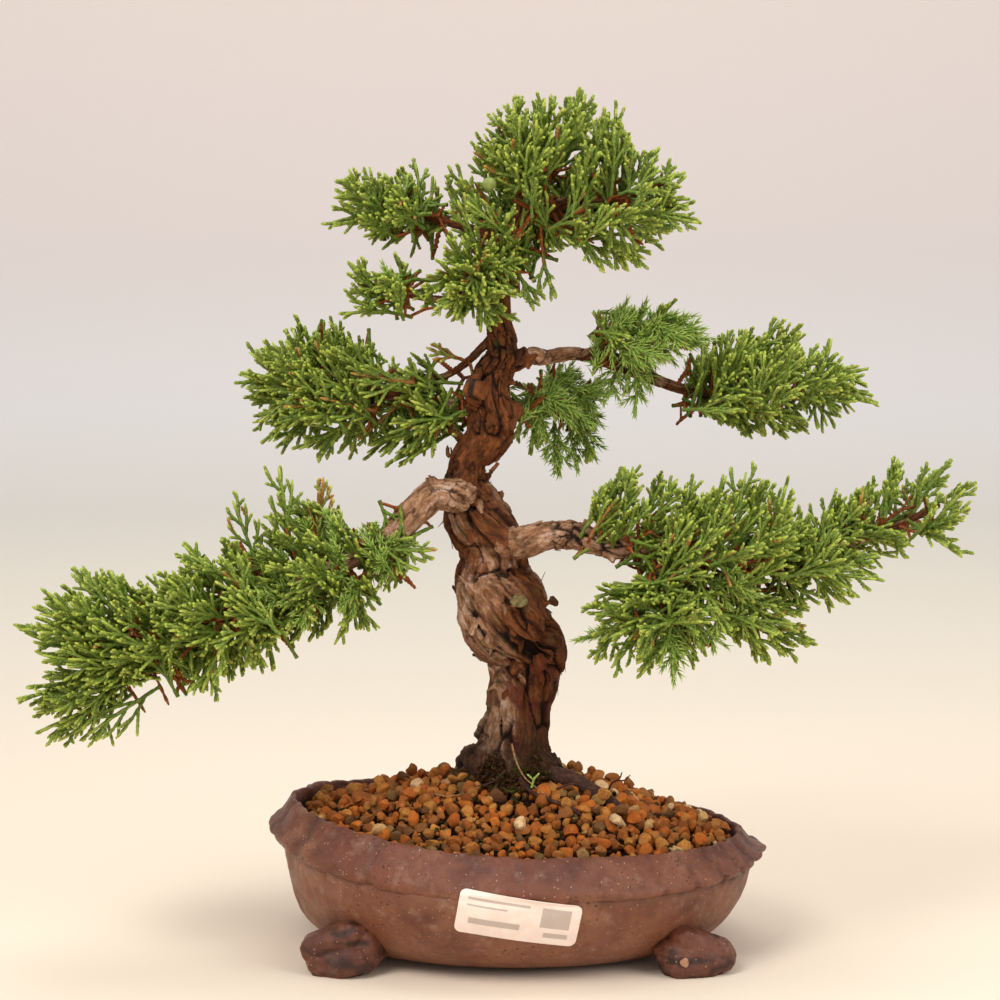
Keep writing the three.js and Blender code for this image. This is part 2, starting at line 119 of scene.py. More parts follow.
def cells_noise(cells, seed):
    """One number from 0 to 1 for each whole-number cell."""
    x, y, z = (cells[..., i].astype(np.int64) for i in range(3))
    n = (x * 73856093) ^ (y * 19349663) ^ (z * 83492791) ^ (seed * 668265263)
    n = (n ^ (n >> 13)) & 0xFFFFFFFF
    n = (n * 1274126177) & 0xFFFFFFFF
    n = ((n ^ (n >> 16)) * 2246822519) & 0xFFFFFFFF
    return ((n ^ (n >> 15)) & 0xFFFFFF) / 0xFFFFFF


def swell(points, size, seed=0):
    """Smooth noise from -1 to 1, with lumps about this size."""
    at = np.asarray(points) / size
    cell = np.floor(at)
    part = at - cell
    part = part * part * (3 - 2 * part)
    total = 0.0
    for corner in np.ndindex(2, 2, 2):
        weight = np.prod(np.where(np.array(corner) == 1, part, 1 - part), axis=-1)
        total = total + weight * cells_noise(cell + np.array(corner), seed)
    return 2 * total - 1


def rough(points, size, seed=0):
    """Noise in three layers, each half as large as the last."""
    return sum(swell(points, size / 2**i, seed + 17 * i) / 2**i for i in range(3)) / 1.6


def plates(points, seed):
    """Cells about 1 across: how near each point is to its cell's edge, a number for its cell, and the way
    to the point from the cell's middle."""
    cell = np.floor(points)
    near = np.full(len(points), 9.0)
    second = np.full(len(points), 9.0)
    which = np.zeros(len(points))
    local = np.zeros_like(points)
    for step in np.ndindex(3, 3, 3):
        other = cell + np.array(step) - 1
        middle = other + np.stack([cells_noise(other, seed + i) for i in range(3)], axis=-1)
        gap = np.linalg.norm(points - middle, axis=-1)
        closer = gap < near
        second = np.where(closer, near, np.minimum(second, gap))
        which = np.where(closer, cells_noise(other, seed + 9), which)
        local = np.where(closer[:, None], points - middle, local)
        near = np.where(closer, gap, near)
    return second - near, which, local


def unit(vectors):
    vectors = np.asarray(vectors, dtype=float)
    return vectors / np.maximum(np.linalg.norm(vectors, axis=-1, keepdims=True), 1e-9)


def spread_out(cloud, count):
    """The rows of a cloud that lie furthest from each other."""
    kept = [0]
    gap = np.linalg.norm(cloud - cloud[0], axis=1)
    while len(kept) < count:
        kept.append(int(np.argmax(gap)))
        gap = np.minimum(gap, np.linalg.norm(cloud - cloud[kept[-1]], axis=1))
    return kept


def ease(low, high, value):
    """0 below low and 1 above high, smooth between."""
    share = np.clip((value - low) / (high - low), 0, 1)
    return share * share * (3 - 2 * share)


def smooth_line(points, steps):
    """Points along a smooth curve through the given ones, and each one's place from 0 to 1."""
    points = np.asarray(points, dtype=float)
    ends = np.vstack([2 * points[0] - points[1], points, 2 * points[-1] - points[-2]])
    places = np.linspace(0, len(points) - 1, steps)
    span = np.minimum(places.astype(int), len(points) - 2)
    t = (places - span)[:, None]
    a, b, c, d = (ends[span + i] for i in range(4))
    line = 0.5 * (2 * b + (c - a) * t + (2 * a - 5 * b + 4 * c - d) * t**2 + (3 * b - a - 3 * c + d) * t**3)
    return line, places / (len(points) - 1)


# ------------------------------------------------------------------------------------------ Materials
PLACE, STORED, MAP = "ShaderNodeTexCoord", "ShaderNodeAttribute", "ShaderNodeUVMap"
NOISE, CELLS, STRETCH = "ShaderNodeTexNoise", "ShaderNodeTexVoronoi", "ShaderNodeMapping"
PARTS, RAMP, MIX = "ShaderNodeSeparateXYZ", "ShaderNodeValToRGB", "ShaderNodeMix"
MATH, BUMP = "ShaderNodeMath", "ShaderNodeBump"


def linear(hex_colour):
    """An sRGB hex colour as linear red, green, blue and alpha."""
    parts = [int(hex_colour[i : i + 2], 16) / 255 for i in (1, 3, 5)]
    return [c / 12.92 if c <= 0.04045 else ((c + 0.055) / 1.055) ** 2.4 for c in parts] + [1.0]


def material(name, **surface):
    """A new material and its Principled shader, with fixed numbers on the shader's own sockets."""
    made = bpy.data.materials.new(name)
    made.use_nodes = True
    shader = made.node_tree.nodes["Principled BSDF"]
    for socket, value in surface.items():
        shader.inputs[socket.replace("_", " ")].default_value = value
    return made, shader


def add(owner, kind, inputs=(), output=0, stops=(), **settings):
    """Adds a node and gives one of its outputs. inputs has a value or another node's output for each socket;
    stops are a ramp's positions, each with a colour or a grey given as a number."""
    tree = owner.node_tree
    made = tree.nodes.new(kind)
    for name, value in settings.items():
        setattr(made, name, value)
    for socket, value in dict(inputs).items():
        if isinstance(value, bpy.types.NodeSocket):
            tree.links.new(value, made.inputs[socket])
        else:
            made.inputs[socket].default_value = value
    for _ in stops[2:]:
        made.color_ramp.elements.new(0.5)
    for number, (position, colour) in enumerate(stops):
        element = made.color_ramp.elements[number]
        element.position = position
        element.color = linear(colour) if isinstance(colour, str) else [colour] * 3 + [1.0]
    return made.outputs[output]


def link(owner, output, shader, socket):
    owner.node_tree.links.new(output, shader.inputs[socket])


def make_stoneware():
    """Unglazed iron-rich stoneware, wetted and smoothed by hand: a dull gloss on the high spots, pale and
    dark specks of grog, reddish and purplish clouds, and a darker, more purple folded lip."""
    made, shader = material("hand_smoothed_stoneware", Specular_IOR_Level=0.42)
    where = add(made, PLACE, output="Object")
    clouds = add(made, NOISE, {"Vector": where, "Scale": 62, "Detail": 5, "Roughness": 0.6})
    wall = add(made, RAMP, {0: clouds}, stops=[(0.32, "#6b3b29"), (0.5, "#85553c"), (0.68, "#976749")])
    lip = add(made, RAMP, {0: clouds}, stops=[(0.3, "#482015"), (0.55, "#653222"), (0.75, "#835040")])
    smears = add(made, NOISE, {"Vector": where, "Scale": 140, "Detail": 5, "Roughness": 0.6})
    broken = add(made, RAMP, {0: smears}, stops=[(0.35, 0.5), (0.65, 1.0)])
    on_lip = add(made, STORED, output="Fac", attribute_name="lip")
    on_lip = add(made, MATH, {0: on_lip, 1: broken}, operation="MULTIPLY")
    colour = add(made, MIX, {0: on_lip, 6: wall, 7: lip}, 2, data_type="RGBA")
    stain = add(made, NOISE, {"Vector": where, "Scale": 33, "Detail": 3, "Roughness": 0.6})
    stain = add(made, RAMP, {0: stain}, stops=[(0.52, 0.0), (0.66, 0.55)])
    colour = add(made, MIX, {0: stain, 6: colour, 7: linear("#733a26")}, 2, data_type="RGBA")
    mottle = add(made, RAMP, {0: smears}, stops=[(0.56, 0.0), (0.72, 0.45)])
    colour = add(made, MIX, {0: mottle, 6: colour, 7: linear("#a5806a")}, 2, data_type="RGBA")
    # painted shade: the pot's inside, the crease under the fold, the tears and the feet's folds are darkened
    # towards this colour
    painted_shade = add(made, STORED, output="Fac", attribute_name="painted_shade")
    colour = add(made, MIX, {0: painted_shade, 6: colour, 7: linear("#2a1711")}, 2, data_type="RGBA")
    # pale grog: only a few of the cells hold a fleck
    cell = add(made, CELLS, {"Vector": where, "Scale": 860.0})
    which = add(made, CELLS, {"Vector": where, "Scale": 860.0}, "Color")
    which = add(made, PARTS, {0: which})
    rare = add(made, MATH, {0: which, 1: 0.86}, operation="GREATER_THAN")
    fleck = add(made, MATH, {0: cell, 1: 0.21}, operation="LESS_THAN")
    fleck = add(made, MATH, {0: fleck, 1: rare}, operation="MULTIPLY")
    fleck = add(made, MATH, {0: fleck, 1: 0.6}, operation="MULTIPLY")
    colour = add(made, MIX, {0: fleck, 6: colour, 7: linear("#c9ab8e")}, 2, data_type="RGBA")
    # pinholes, in patches
    hole = add(made, NOISE, {"Vector": where, "Scale": 950, "Detail": 2, "Roughness": 0.5})
    hole = add(made, RAMP, {0: hole}, stops=[(0.3, 1.0), (0.35, 0.0)])
    patches = add(made, NOISE, {"Vector": where, "Scale": 60, "Detail": 4, "Roughness": 0.6})
    patches = add(made, RAMP, {0: patches}, stops=[(0.5, 0.0), (0.6, 1.0)])
    pit = add(made, MATH, {0: hole, 1: patches}, operation="MULTIPLY")
    colour = add(made, MIX, {0: pit, 6: colour, 7: linear("#1d100b")}, 2, data_type="RGBA")
    link(made, colour, shader, "Base Color")
    damp = add(made, NOISE, {"Vector": where, "Scale": 160, "Detail": 4, "Roughness": 0.6})
    gloss = add(made, RAMP, {0: damp}, stops=[(0.35, 0.34), (0.7, 0.66)])
    link(made, gloss, shader, "Roughness")
    grit = add(made, NOISE, {"Vector": where, "Scale": 450, "Detail": 6, "Roughness": 0.68})
    height = add(made, MATH, {0: grit, 1: pit}, operation="SUBTRACT")
    bump = add(made, BUMP, {"Height": height, "Distance": 0.0007, "Strength": 0.8})
    link(made, bump, shader, "Normal")
    return made


def make_baked_clay():
    """Baked red clay grains, moist: matt orange to brown with a few tan and cream ones, finely pitted."""
    made, shader = material("baked_clay_grains", Roughness=0.82, Specular_IOR_Level=0.3)
    where = add(made, PLACE, output="Object")
    tint = add(made, PARTS, {0: add(made, MAP, uv_map="OFBake")})
    colour = add(made, RAMP, {0: tint}, stops=[
        (0.0, "#c06b1f"), (0.16, "#aa5816"), (0.3, "#98561c"), (0.44, "#7b4214"), (0.56, "#b8742f"),
        (0.66, "#875526"), (0.76, "#c8873a"), (0.84, "#5f3b1d"), (0.925, "#6d5228"), (0.955, "#cfa468"),
        (0.988, "#ddba8a")])
    dust = add(made, NOISE, {"Vector": where, "Scale": 620, "Detail": 5, "Roughness": 0.7})
    stain = add(made, RAMP, {0: dust}, stops=[(0.42, 0.0), (0.7, 0.6)])
    colour = add(made, MIX, {0: stain, 6: colour, 7: linear("#653418")}, 2, data_type="RGBA")
    warm = add(made, NOISE, {"Vector": where, "Scale": 290, "Detail": 3, "Roughness": 0.6})
    warm = add(made, RAMP, {0: warm}, stops=[(0.55, 0.0), (0.75, 0.4)])
    colour = add(made, MIX, {0: warm, 6: colour, 7: linear("#e48a38")}, 2, data_type="RGBA")
    link(made, colour, shader, "Base Color")
    bump = add(made, BUMP, {"Height": dust, "Distance": 0.0005, "Strength": 0.9})
    link(made, bump, shader, "Normal")
    return made


def plain(name, scale, stops, depth, detail=4, roughness=0.6, **surface):
    """A surface whose colour and fine relief follow one noise."""
    made, shader = material(name, **surface)
    where = add(made, PLACE, output="Object")
    skin = add(made, NOISE, {"Vector": where, "Scale": scale, "Detail": detail, "Roughness": roughness})
    link(made, add(made, RAMP, {0: skin}, stops=stops), shader, "Base Color")
    bump = add(made, BUMP, {"Height": skin, "Distance": depth, "Strength": 0.8})
    link(made, bump, shader, "Normal")
    return made


def make_compost():
    """Wet compost and broken grains between the baked clay: almost black and crumbly, hardly any gloss."""
    stops = [(0.35, "#0d0704"), (0.55, "#221309"), (0.72, "#502d12"), (0.85, "#7a4819")]
    return plain("wet_compost", 830, stops, 0.0012, 6, 0.75, Roughness=0.9, Specular_IOR_Level=0.12)


def make_moss():
    """Moss and algae on old compost: brown and black crumbs with olive and a few green tips."""
    made, shader = material("damp_moss", Roughness=0.92, Specular_IOR_Level=0.12)
    where = add(made, PLACE, output="Object")
    crumbs = add(made, NOISE, {"Vector": where, "Scale": 710, "Detail": 6, "Roughness": 0.75})
    earth = add(made, RAMP, {0: crumbs}, stops=[
        (0.3, "#160d07"), (0.5, "#3a2413"), (0.62, "#694724"), (0.8, "#5b2c1c")])
    tips = add(made, RAMP, {0: crumbs}, stops=[(0.4, "#1d230c"), (0.62, "#4c5a20"), (0.8, "#7f9c36")])
    green = add(made, NOISE, {"Vector": where, "Scale": 250, "Detail": 4, "Roughness": 0.6})
    green = add(made, RAMP, {0: green}, stops=[(0.52, 0.0), (0.66, 0.85)])
    colour = add(made, MIX, {0: green, 6: earth, 7: tips}, 2, data_type="RGBA")
    link(made, colour, shader, "Base Color")
    bump = add(made, BUMP, {"Height": crumbs, "Distance": 0.0012})
    link(made, bump, shader, "Normal")
    return made


def make_bark():
    """Juniper bark: thin fibrous plates that crack and peel along the grain. Red-brown where it is fresh,
    tan and pinkish grey where the outer plates have bleached, black in the cracks."""
    made, shader = material("peeling_juniper_bark", Roughness=0.85, Specular_IOR_Level=0.24)
    where = add(made, PLACE, output="Object")
    along = add(made, STORED, output="Vector", attribute_name="along")
    plate = add(made, STORED, output="Fac", attribute_name="plate")
    bleach = add(made, STORED, output="Fac", attribute_name="bleach")
    crack = add(made, STORED, output="Fac", attribute_name="crack")
    height = add(made, PARTS, {0: where}, 2)
    drawn = add(made, STRETCH, {"Vector": along, "Scale": (1.0, 1.0, 0.26)})
    fibres = add(made, NOISE, {"Vector": drawn, "Scale": 800, "Detail": 5, "Roughness": 0.7})
    half_drawn = add(made, STRETCH, {"Vector": along, "Scale": (1.0, 1.0, 0.55)})
    clouds = add(made, NOISE, {"Vector": half_drawn, "Scale": 115, "Detail": 5, "Roughness": 0.65})
    blotches = add(made, NOISE, {"Vector": half_drawn, "Scale": 270, "Detail": 6, "Roughness": 0.72})
    fresh = add(made, RAMP, {0: fibres}, stops=[(0.28, "#3a1b09"), (0.5, "#6c3b1a"), (0.74, "#965c30")])
    pale = add(made, RAMP, {0: fibres}, stops=[(0.28, "#7a4f34"), (0.5, "#a67957"), (0.74, "#cca78a")])
    worn = add(made, MATH, {0: plate, 1: 0.55}, operation="MULTIPLY")
    worn = add(made, MATH, {0: clouds, 1: 0.75, 2: worn}, operation="MULTIPLY_ADD")
    worn = add(made, MATH, {0: worn, 1: bleach}, operation="ADD")
    share = add(made, RAMP, {0: worn}, stops=[(0.68, 0.0), (1.0, 1.0)])
    colour = add(made, MIX, {0: share, 6: fresh, 7: pale}, 2, data_type="RGBA")
    dark = add(made, RAMP, {0: blotches}, stops=[(0.38, 0.7), (0.5, 0.0)])
    colour = add(made, MIX, {0: dark, 6: colour, 7: linear("#2e170b")}, 2, data_type="RGBA")
    chalky = add(made, RAMP, {0: blotches}, stops=[(0.53, 0.0), (0.64, 0.75)])
    chalky = add(made, MATH, {0: chalky, 1: share}, operation="MULTIPLY")
    colour = add(made, MIX, {0: chalky, 6: colour, 7: linear("#dcc0ae")}, 2, data_type="RGBA")
    # a red new skin low on the trunk, and soil splashed up its foot
    red = add(made, NOISE, {"Vector": along, "Scale": 77, "Detail": 3, "Roughness": 0.6})
    red = add(made, RAMP, {0: red}, stops=[(0.5, 0.0), (0.6, 0.8)])
    low = add(made, RAMP, {0: height}, stops=[(0.098, 1.0), (0.122, 0.0)])
    red = add(made, MATH, {0: red, 1: low}, operation="MULTIPLY")
    colour = add(made, MIX, {0: red, 6: colour, 7: linear("#5c2417")}, 2, data_type="RGBA")
    crumbs = add(made, NOISE, {"Vector": where, "Scale": 770, "Detail": 5, "Roughness": 0.75})
    splash = add(made, MATH, {0: clouds, 1: 0.05, 2: height}, operation="MULTIPLY_ADD")
    splash = add(made, RAMP, {0: splash}, stops=[(0.093, 0.9), (0.12, 0.0)])
    soil = add(made, RAMP, {0: crumbs}, stops=[(0.35, "#170d08"), (0.6, "#38230f"), (0.8, "#6a5530")])
    colour = add(made, MIX, {0: splash, 6: colour, 7: soil}, 2, data_type="RGBA")
    colour = add(made, MIX, {0: crack, 6: colour, 7: linear("#170b05")}, 2, data_type="RGBA")
    lichen = add(made, NOISE, {"Vector": where, "Scale": 165, "Detail": 4, "Roughness": 0.6})
    lichen = add(made, RAMP, {0: lichen}, stops=[(0.62, 0.0), (0.74, 0.6)])
    colour = add(made, MIX, {0: lichen, 6: colour, 7: linear("#54522a")}, 2, data_type="RGBA")
    link(made, colour, shader, "Base Color")
    relief = add(made, MATH, {0: blotches, 1: 1.2, 2: fibres}, operation="MULTIPLY_ADD")
    bump = add(made, BUMP, {"Height": relief, "Distance": 0.0008})
    link(made, bump, shader, "Normal")
    return made


def make_foliage(name, tints, tips):
    """Waxy juniper leaves packed along cord-like shoots: dark at the base, bright yellow-green at the soft
    tips. Each shoot has its own tint, and a little light passes through."""
    made, shader = material(name, Roughness=0.5, Specular_IOR_Level=0.38, Subsurface_Weight=0.25,
                            Subsurface_Scale=0.0015)
    shader.inputs["Subsurface Radius"].default_value = (0.8, 1.0, 0.3)
    where = add(made, PLACE, output="Object")
    spot = add(made, MAP, uv_map="OFBake")
    column = add(made, PARTS, {0: spot})
    up = add(made, PARTS, {0: spot}, 1)
    tint = add(made, RAMP, {0: column}, stops=tints)
    tip = add(made, RAMP, {0: column}, stops=tips)
    share = add(made, RAMP, {0: up}, stops=[(0.15, 0.0), (0.75, 0.4), (1.0, 0.85)])
    colour = add(made, MIX, {0: share, 6: tint, 7: tip}, 2, data_type="RGBA")
    # painted shade: each leaf scale darkens towards its edges, where the scales overlap
    scales = add(made, CELLS, {"Vector": where, "Scale": 1100.0})
    deep = add(made, MIX, {0: 0.55, 6: colour, 7: linear("#14230a")}, 2, data_type="RGBA")
    shade = add(made, RAMP, {0: scales}, stops=[(0.2, 0.0), (0.7, 0.35)])
    colour = add(made, MIX, {0: shade, 6: colour, 7: deep}, 2, data_type="RGBA")
    link(made, colour, shader, "Base Color")
    raised = add(made, MATH, {0: 1.0, 1: scales}, operation="SUBTRACT")
    bump = add(made, BUMP, {"Height": raised, "Distance": 0.0006, "Strength": 0.7})
    link(made, bump, shader, "Normal")
    return made


# The label's plain marks, as left, right, bottom and top shares of the sheet.
MARKS = [
    (0.07, 0.58, 0.8, 0.86), (0.07, 0.4, 0.66, 0.7), (0.1, 0.52, 0.26, 0.4), (0.68, 0.92, 0.4, 0.86),
    (0.72, 0.92, 0.16, 0.28),
]


def make_paper():
    """A smooth coated paper sticker, blank but for plain grey rules and a plain tinted square."""
    made, shader = material("coated_paper_label", Roughness=0.45, Specular_IOR_Level=0.45)
    where = add(made, PLACE, output="Object")
    fibre = add(made, NOISE, {"Vector": where, "Scale": 250, "Detail": 3, "Roughness": 0.6})
    colour = add(made, RAMP, {0: fibre}, stops=[(0.3, "#f7e3d6"), (0.7, "#fcefe6")])
    spot = add(made, MAP, uv_map="OFBake")
    across = add(made, PARTS, {0: spot})
    up = add(made, PARTS, {0: spot}, 1)
    for left, right, bottom, top in MARKS:
        inked = 0.55
        for value, low, high in ((across, left, right), (up, bottom, top)):
            above = add(made, MATH, {0: value, 1: low}, operation="GREATER_THAN")
            below = add(made, MATH, {0: value, 1: high}, operation="LESS_THAN")
            within = add(made, MATH, {0: above, 1: below}, operation="MULTIPLY")
            inked = add(made, MATH, {0: inked, 1: within}, operation="MULTIPLY")
        colour = add(made, MIX, {0: inked, 6: colour, 7: linear("#8f8078")}, 2, data_type="RGBA")
    link(made, colour, shader, "Base Color")
    bump = add(made, BUMP, {"Height": fibre, "Distance": 0.0001, "Strength": 0.3})
    link(made, bump, shader, "Normal")
    return made


STONEWARE = make_stoneware()
BAKED_CLAY = make_baked_clay()
COMPOST = make_compost()
MOSS = make_moss()
BARK = make_bark()
# a pruned stub's end: dull olive wood, weathered between its fine rings, and darkened all over as painted
# shade
CUT_WOOD = plain("weathered_cut_wood_painted_shade", 670, [(0.3, "#463c20"), (0.55, "#75683e"), (0.8, "#948a5e")], 0.0004,
                 Roughness=0.75, Specular_IOR_Level=0.25)
# a healed pruning wound: dark, smooth heartwood
OLD_SCAR = plain("old_pruning_scar", 500, [(0.3, "#150d0b"), (0.6, "#32211b"), (0.8, "#533b30")], 0.0005,
                 Roughness=0.7, Specular_IOR_Level=0.25)
# a worn bit of pale tan stone
PEBBLE_STONE = plain("pale_pebble", 830, [(0.3, "#94694c"), (0.6, "#b98d6d"), (0.8, "#d0ab8c")], 0.0003,
                     Roughness=0.6, Specular_IOR_Level=0.4)
# fine dead rootlets, dried to the colour of straw
DRY_ROOTLET = plain("dry_rootlet", 670, [(0.3, "#6e4c30"), (0.6, "#a9805a"), (0.8, "#cba981")], 0.0003,
                    Roughness=0.75, Specular_IOR_Level=0.3)
# young juniper twigs: papery rust-red bark with pale flakes
TWIG_BARK = plain("rusty_twig_bark", 900,
                  [(0.3, "#5a2810"), (0.5, "#9a5020"), (0.66, "#b66a30"), (0.8, "#d6a674")], 0.0005,
                  5, 0.7, Roughness=0.75, Specular_IOR_Level=0.3)
# roots at the surface: purple-brown skin, damp and crusted with soil
ROOT_BARK = plain("damp_root_skin", 520,
                  [(0.3, "#1c0f0a"), (0.5, "#40241a"), (0.66, "#62402f"), (0.8, "#8a6650")], 0.0007,
                  6, 0.75, Roughness=0.72, Specular_IOR_Level=0.28)
SCALE_LEAVES = make_foliage(
    "waxy_scale_leaves",
    [(0.0, "#5b7422"), (0.25, "#6b862a"), (0.5, "#7c9832"), (0.75, "#5f7c24"), (0.925, "#718a2c"),
     (0.935, "#9aa442"), (0.965, "#96a03e"), (0.975, "#9a622a"), (1.0, "#aa6e2c")],
    [(0.0, "#a9bb45"), (0.3, "#bbcb4f"), (0.6, "#cbd75c"), (0.85, "#adbd46"), (0.925, "#b9c84c"),
     (0.935, "#d9dc72"), (0.965, "#d8d86e"), (0.975, "#c4923e"), (1.0, "#cf9c4a")],
)
NEEDLE_LEAVES = make_foliage(
    "waxy_needle_leaves",
    [(0.0, "#8db347"), (0.5, "#a0c254"), (0.95, "#93b84c"), (1.0, "#c0a850")],
    [(0.0, "#c2d867"), (0.5, "#cfe074"), (0.95, "#d8e67e"), (1.0, "#d8c86e")],
)
PAPER = make_paper()
# moulded polyethylene drainage mesh: dull black with a fine grain
PLASTIC_MESH = plain("moulded_plastic_mesh", 1250, [(0.3, "#15181a"), (0.7, "#2b3032")], 0.0002,
                     Roughness=0.55, Specular_IOR_Level=0.4)
# an unripe juniper berry: olive green under a pale waxy bloom
BERRY_SKIN = plain("bloomed_berry_skin", 400, [(0.35, "#6f7d35"), (0.6, "#8f9a55"), (0.8, "#b3b98a")], 0.0003,
                   Roughness=0.55, Specular_IOR_Level=0.35)


# ------------------------------------------------------------------------------------------ Making pieces
def settle(piece, surface, nodes=(), smooth_angle=None):
    """Puts a piece drawn in millimetres into the frame, and says what it is made of and stands for."""
    piece.data.transform(INTO_FRAME @ piece.matrix_world)
    piece.matrix_world = Matrix.Identity(4)
    piece.data.materials.clear()
    piece.data.materials.append(surface)
    pick(piece)
    if smooth_angle is None:
        bpy.ops.object.shade_smooth()
    else:
        bpy.ops.object.shade_smooth_by_angle(angle=math.radians(smooth_angle))
    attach(piece, "root")
    if nodes:
        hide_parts(*nodes)
    deselect()
    return piece


def loft(name, rings, segments):
    """A disc drawn up ring by ring into a closed solid. Each ring is (half length, half width, height)."""
    deselect()
    bpy.ops.mesh.primitive_circle_add(vertices=segments, radius=1, fill_type="NGON")
    piece = bpy.context.object
    piece.name = name
    bpy.ops.object.mode_set(mode="EDIT")
    bpy.ops.mesh.select_all(action="SELECT")
    length, width, height = rings[0]
    bpy.ops.transform.resize(value=(length, width, 1))
    bpy.ops.transform.translate(value=(0, 0, height))
    for (length, width, height), (length_2, width_2, height_2) in zip(rings, rings[1:]):
        bpy.ops.mesh.extrude_region_move(TRANSFORM_OT_translate={"value": (0, 0, height_2 - height)})
        bpy.ops.transform.resize(value=(length_2 / length, width_2 / width, 1))
    bpy.ops.mesh.select_all(action="SELECT")
    bpy.ops.mesh.normals_make_consistent(inside=False)
    bpy.ops.object.mode_set(mode="OBJECT")
    return piece


def limb(name, line, radii, sides=12):
    """A round limb along a line of points, as a bevelled curve turned into a closed mesh."""
    deselect()
    curve = bpy.data.curves.new(name, "CURVE")
    curve.dimensions = "3D"
    curve.bevel_depth = 1
    curve.bevel_resolution = max(0, sides // 4 - 1)
    curve.use_fill_caps = True
    spline = curve.splines.new("POLY")
    spline.points.add(len(line) - 1)
    spline.points.foreach_set("co", np.column_stack([line, np.ones(len(line))]).ravel())
    spline.points.foreach_set("radius", radii)
    piece = bpy.data.objects.new(name, curve)
    bpy.context.collection.objects.link(piece)
    pick(piece)
    bpy.ops.object.convert(target="MESH")
    return bpy.context.object


def lump(name, centre, radii, faces=3):
    deselect()
    bpy.ops.mesh.primitive_ico_sphere_add(subdivisions=faces, radius=1, location=centre)
    piece = bpy.context.object
    piece.name = name
    piece.scale = radii
    bpy.ops.object.transform_apply(location=True, rotation=True, scale=True)
    return piece


def join(pieces, name):
    deselect()
    for piece in pieces:
        piece.select_set(True)
    bpy.context.view_layer.objects.active = pieces[0]
    bpy.ops.object.join()
    pieces[0].name = name
    return pieces[0]


def fuse(piece, voxel, smooth=0):
    """Makes one skin of joined lumps and limbs."""
    pick(piece)
    remesh = piece.modifiers.new("one_skin", "REMESH")
    remesh.mode = "VOXEL"
    remesh.voxel_size = voxel
    bpy.ops.object.modifier_apply(modifier=remesh.name)
    if smooth:
        soften = piece.modifiers.new("soften", "SMOOTH")
        soften.factor = 0.5
        soften.iterations = smooth
        bpy.ops.object.modifier_apply(modifier=soften.name)


def from_arrays(name, points, faces, spots=None):
    """A mesh of equal-sided faces, with an optional place on its UV map for each corner."""
    data = bpy.data.meshes.new(name)
    data.vertices.add(len(points))
    data.vertices.foreach_set("co", np.asarray(points, dtype=np.float32).ravel())
    data.loops.add(faces.size)
    data.loops.foreach_set("vertex_index", faces.ravel().astype(np.int32))
    data.polygons.add(len(faces))
    data.polygons.foreach_set("loop_start", np.arange(0, faces.size, faces.shape[1], dtype=np.int32))
    if spots is not None:
        layer = data.uv_layers.new(name="OFBake")
        layer.data.foreach_set("uv", np.asarray(spots, dtype=np.float32).ravel())
    data.update(calc_edges=True)
    piece = bpy.data.objects.new(name, data)
    bpy.context.collection.objects.link(piece)
    return piece


# ------------------------------------------------------------------------------------------ Pot
POT_HEIGHT = 45.5  # to the rim's inner edge at the middle of the front
WALL_RADIUS = HALF_LENGTH - 4.5
LEFT_END_RISE, RIGHT_END_FALL, END_CURVE = 11, 4.5, 1.6
LIFT_START = 14
EDGE_BAND = 20
SEGMENTS = 260


def oval(radius):
    """The half length and half width of the ring at a radius. Walls keep their thickness round the oval."""
    inset = np.clip(HALF_LENGTH - radius, 0, EDGE_BAND)
    return radius, radius * (HALF_WIDTH - inset) / (HALF_LENGTH - inset)


def rim_lift(x, z):
    share = np.clip((z - LIFT_START) / (POT_HEIGHT - LIFT_START), 0, 1)
    end = np.minimum(np.abs(x) / HALF_LENGTH, 1) ** END_CURVE
    return share * end * np.where(x < 0, LEFT_END_RISE, -RIGHT_END_FALL)


# The pot's section as (radius, height): up the outside, over the slab folded out on top, and down inside.
OUTSIDE = [(20, 2), (44, 2), (56, 2), (62, 2.4), (67, 3.8), (72, 6.4), (76, 9.8), (79.3, 14), (81.8, 19),
           (83.7, 25), (84.9, 30.5)]
FOLD = [
    (85.4, 32.9), (86.6, 32.3), (88.5, 32.2), (89.7, 33.0), (90, 34.6), (89, 37), (86.7, 40),
    (84.4, 42.9), (82.6, 45), (81.4, 45.9), (80.2, 45.5),
]
INSIDE = [(79.9, 42), (79.8, 36), (78.6, 28), (75.5, 19), (70, 12), (62, 8.2), (50, 7.5), (20, 7.5)]
FINE = 3  # rings for each point of the section

# Tears in the fold: direction in radians from +X, depth and width.
TEARS = [(-2.95, 2.0, 0.03), (-2.62, 1.6, 0.04), (-2.2, 1.0, 0.03), (-1.36, 0.7, 0.02), (-0.98, 1.2, 0.012),
         (-0.80, 1.4, 0.012), (-0.62, 2.6, 0.014), (-0.47, 1.7, 0.02), (-0.3, 2.4, 0.03), (-0.12, 2.0, 0.04),
         (0.2, 2.0, 0.05), (0.9, 1.4, 0.03), (1.5, 1.6, 0.03), (2.2, 1.2, 0.04), (2.9, 2.2, 0.05)]


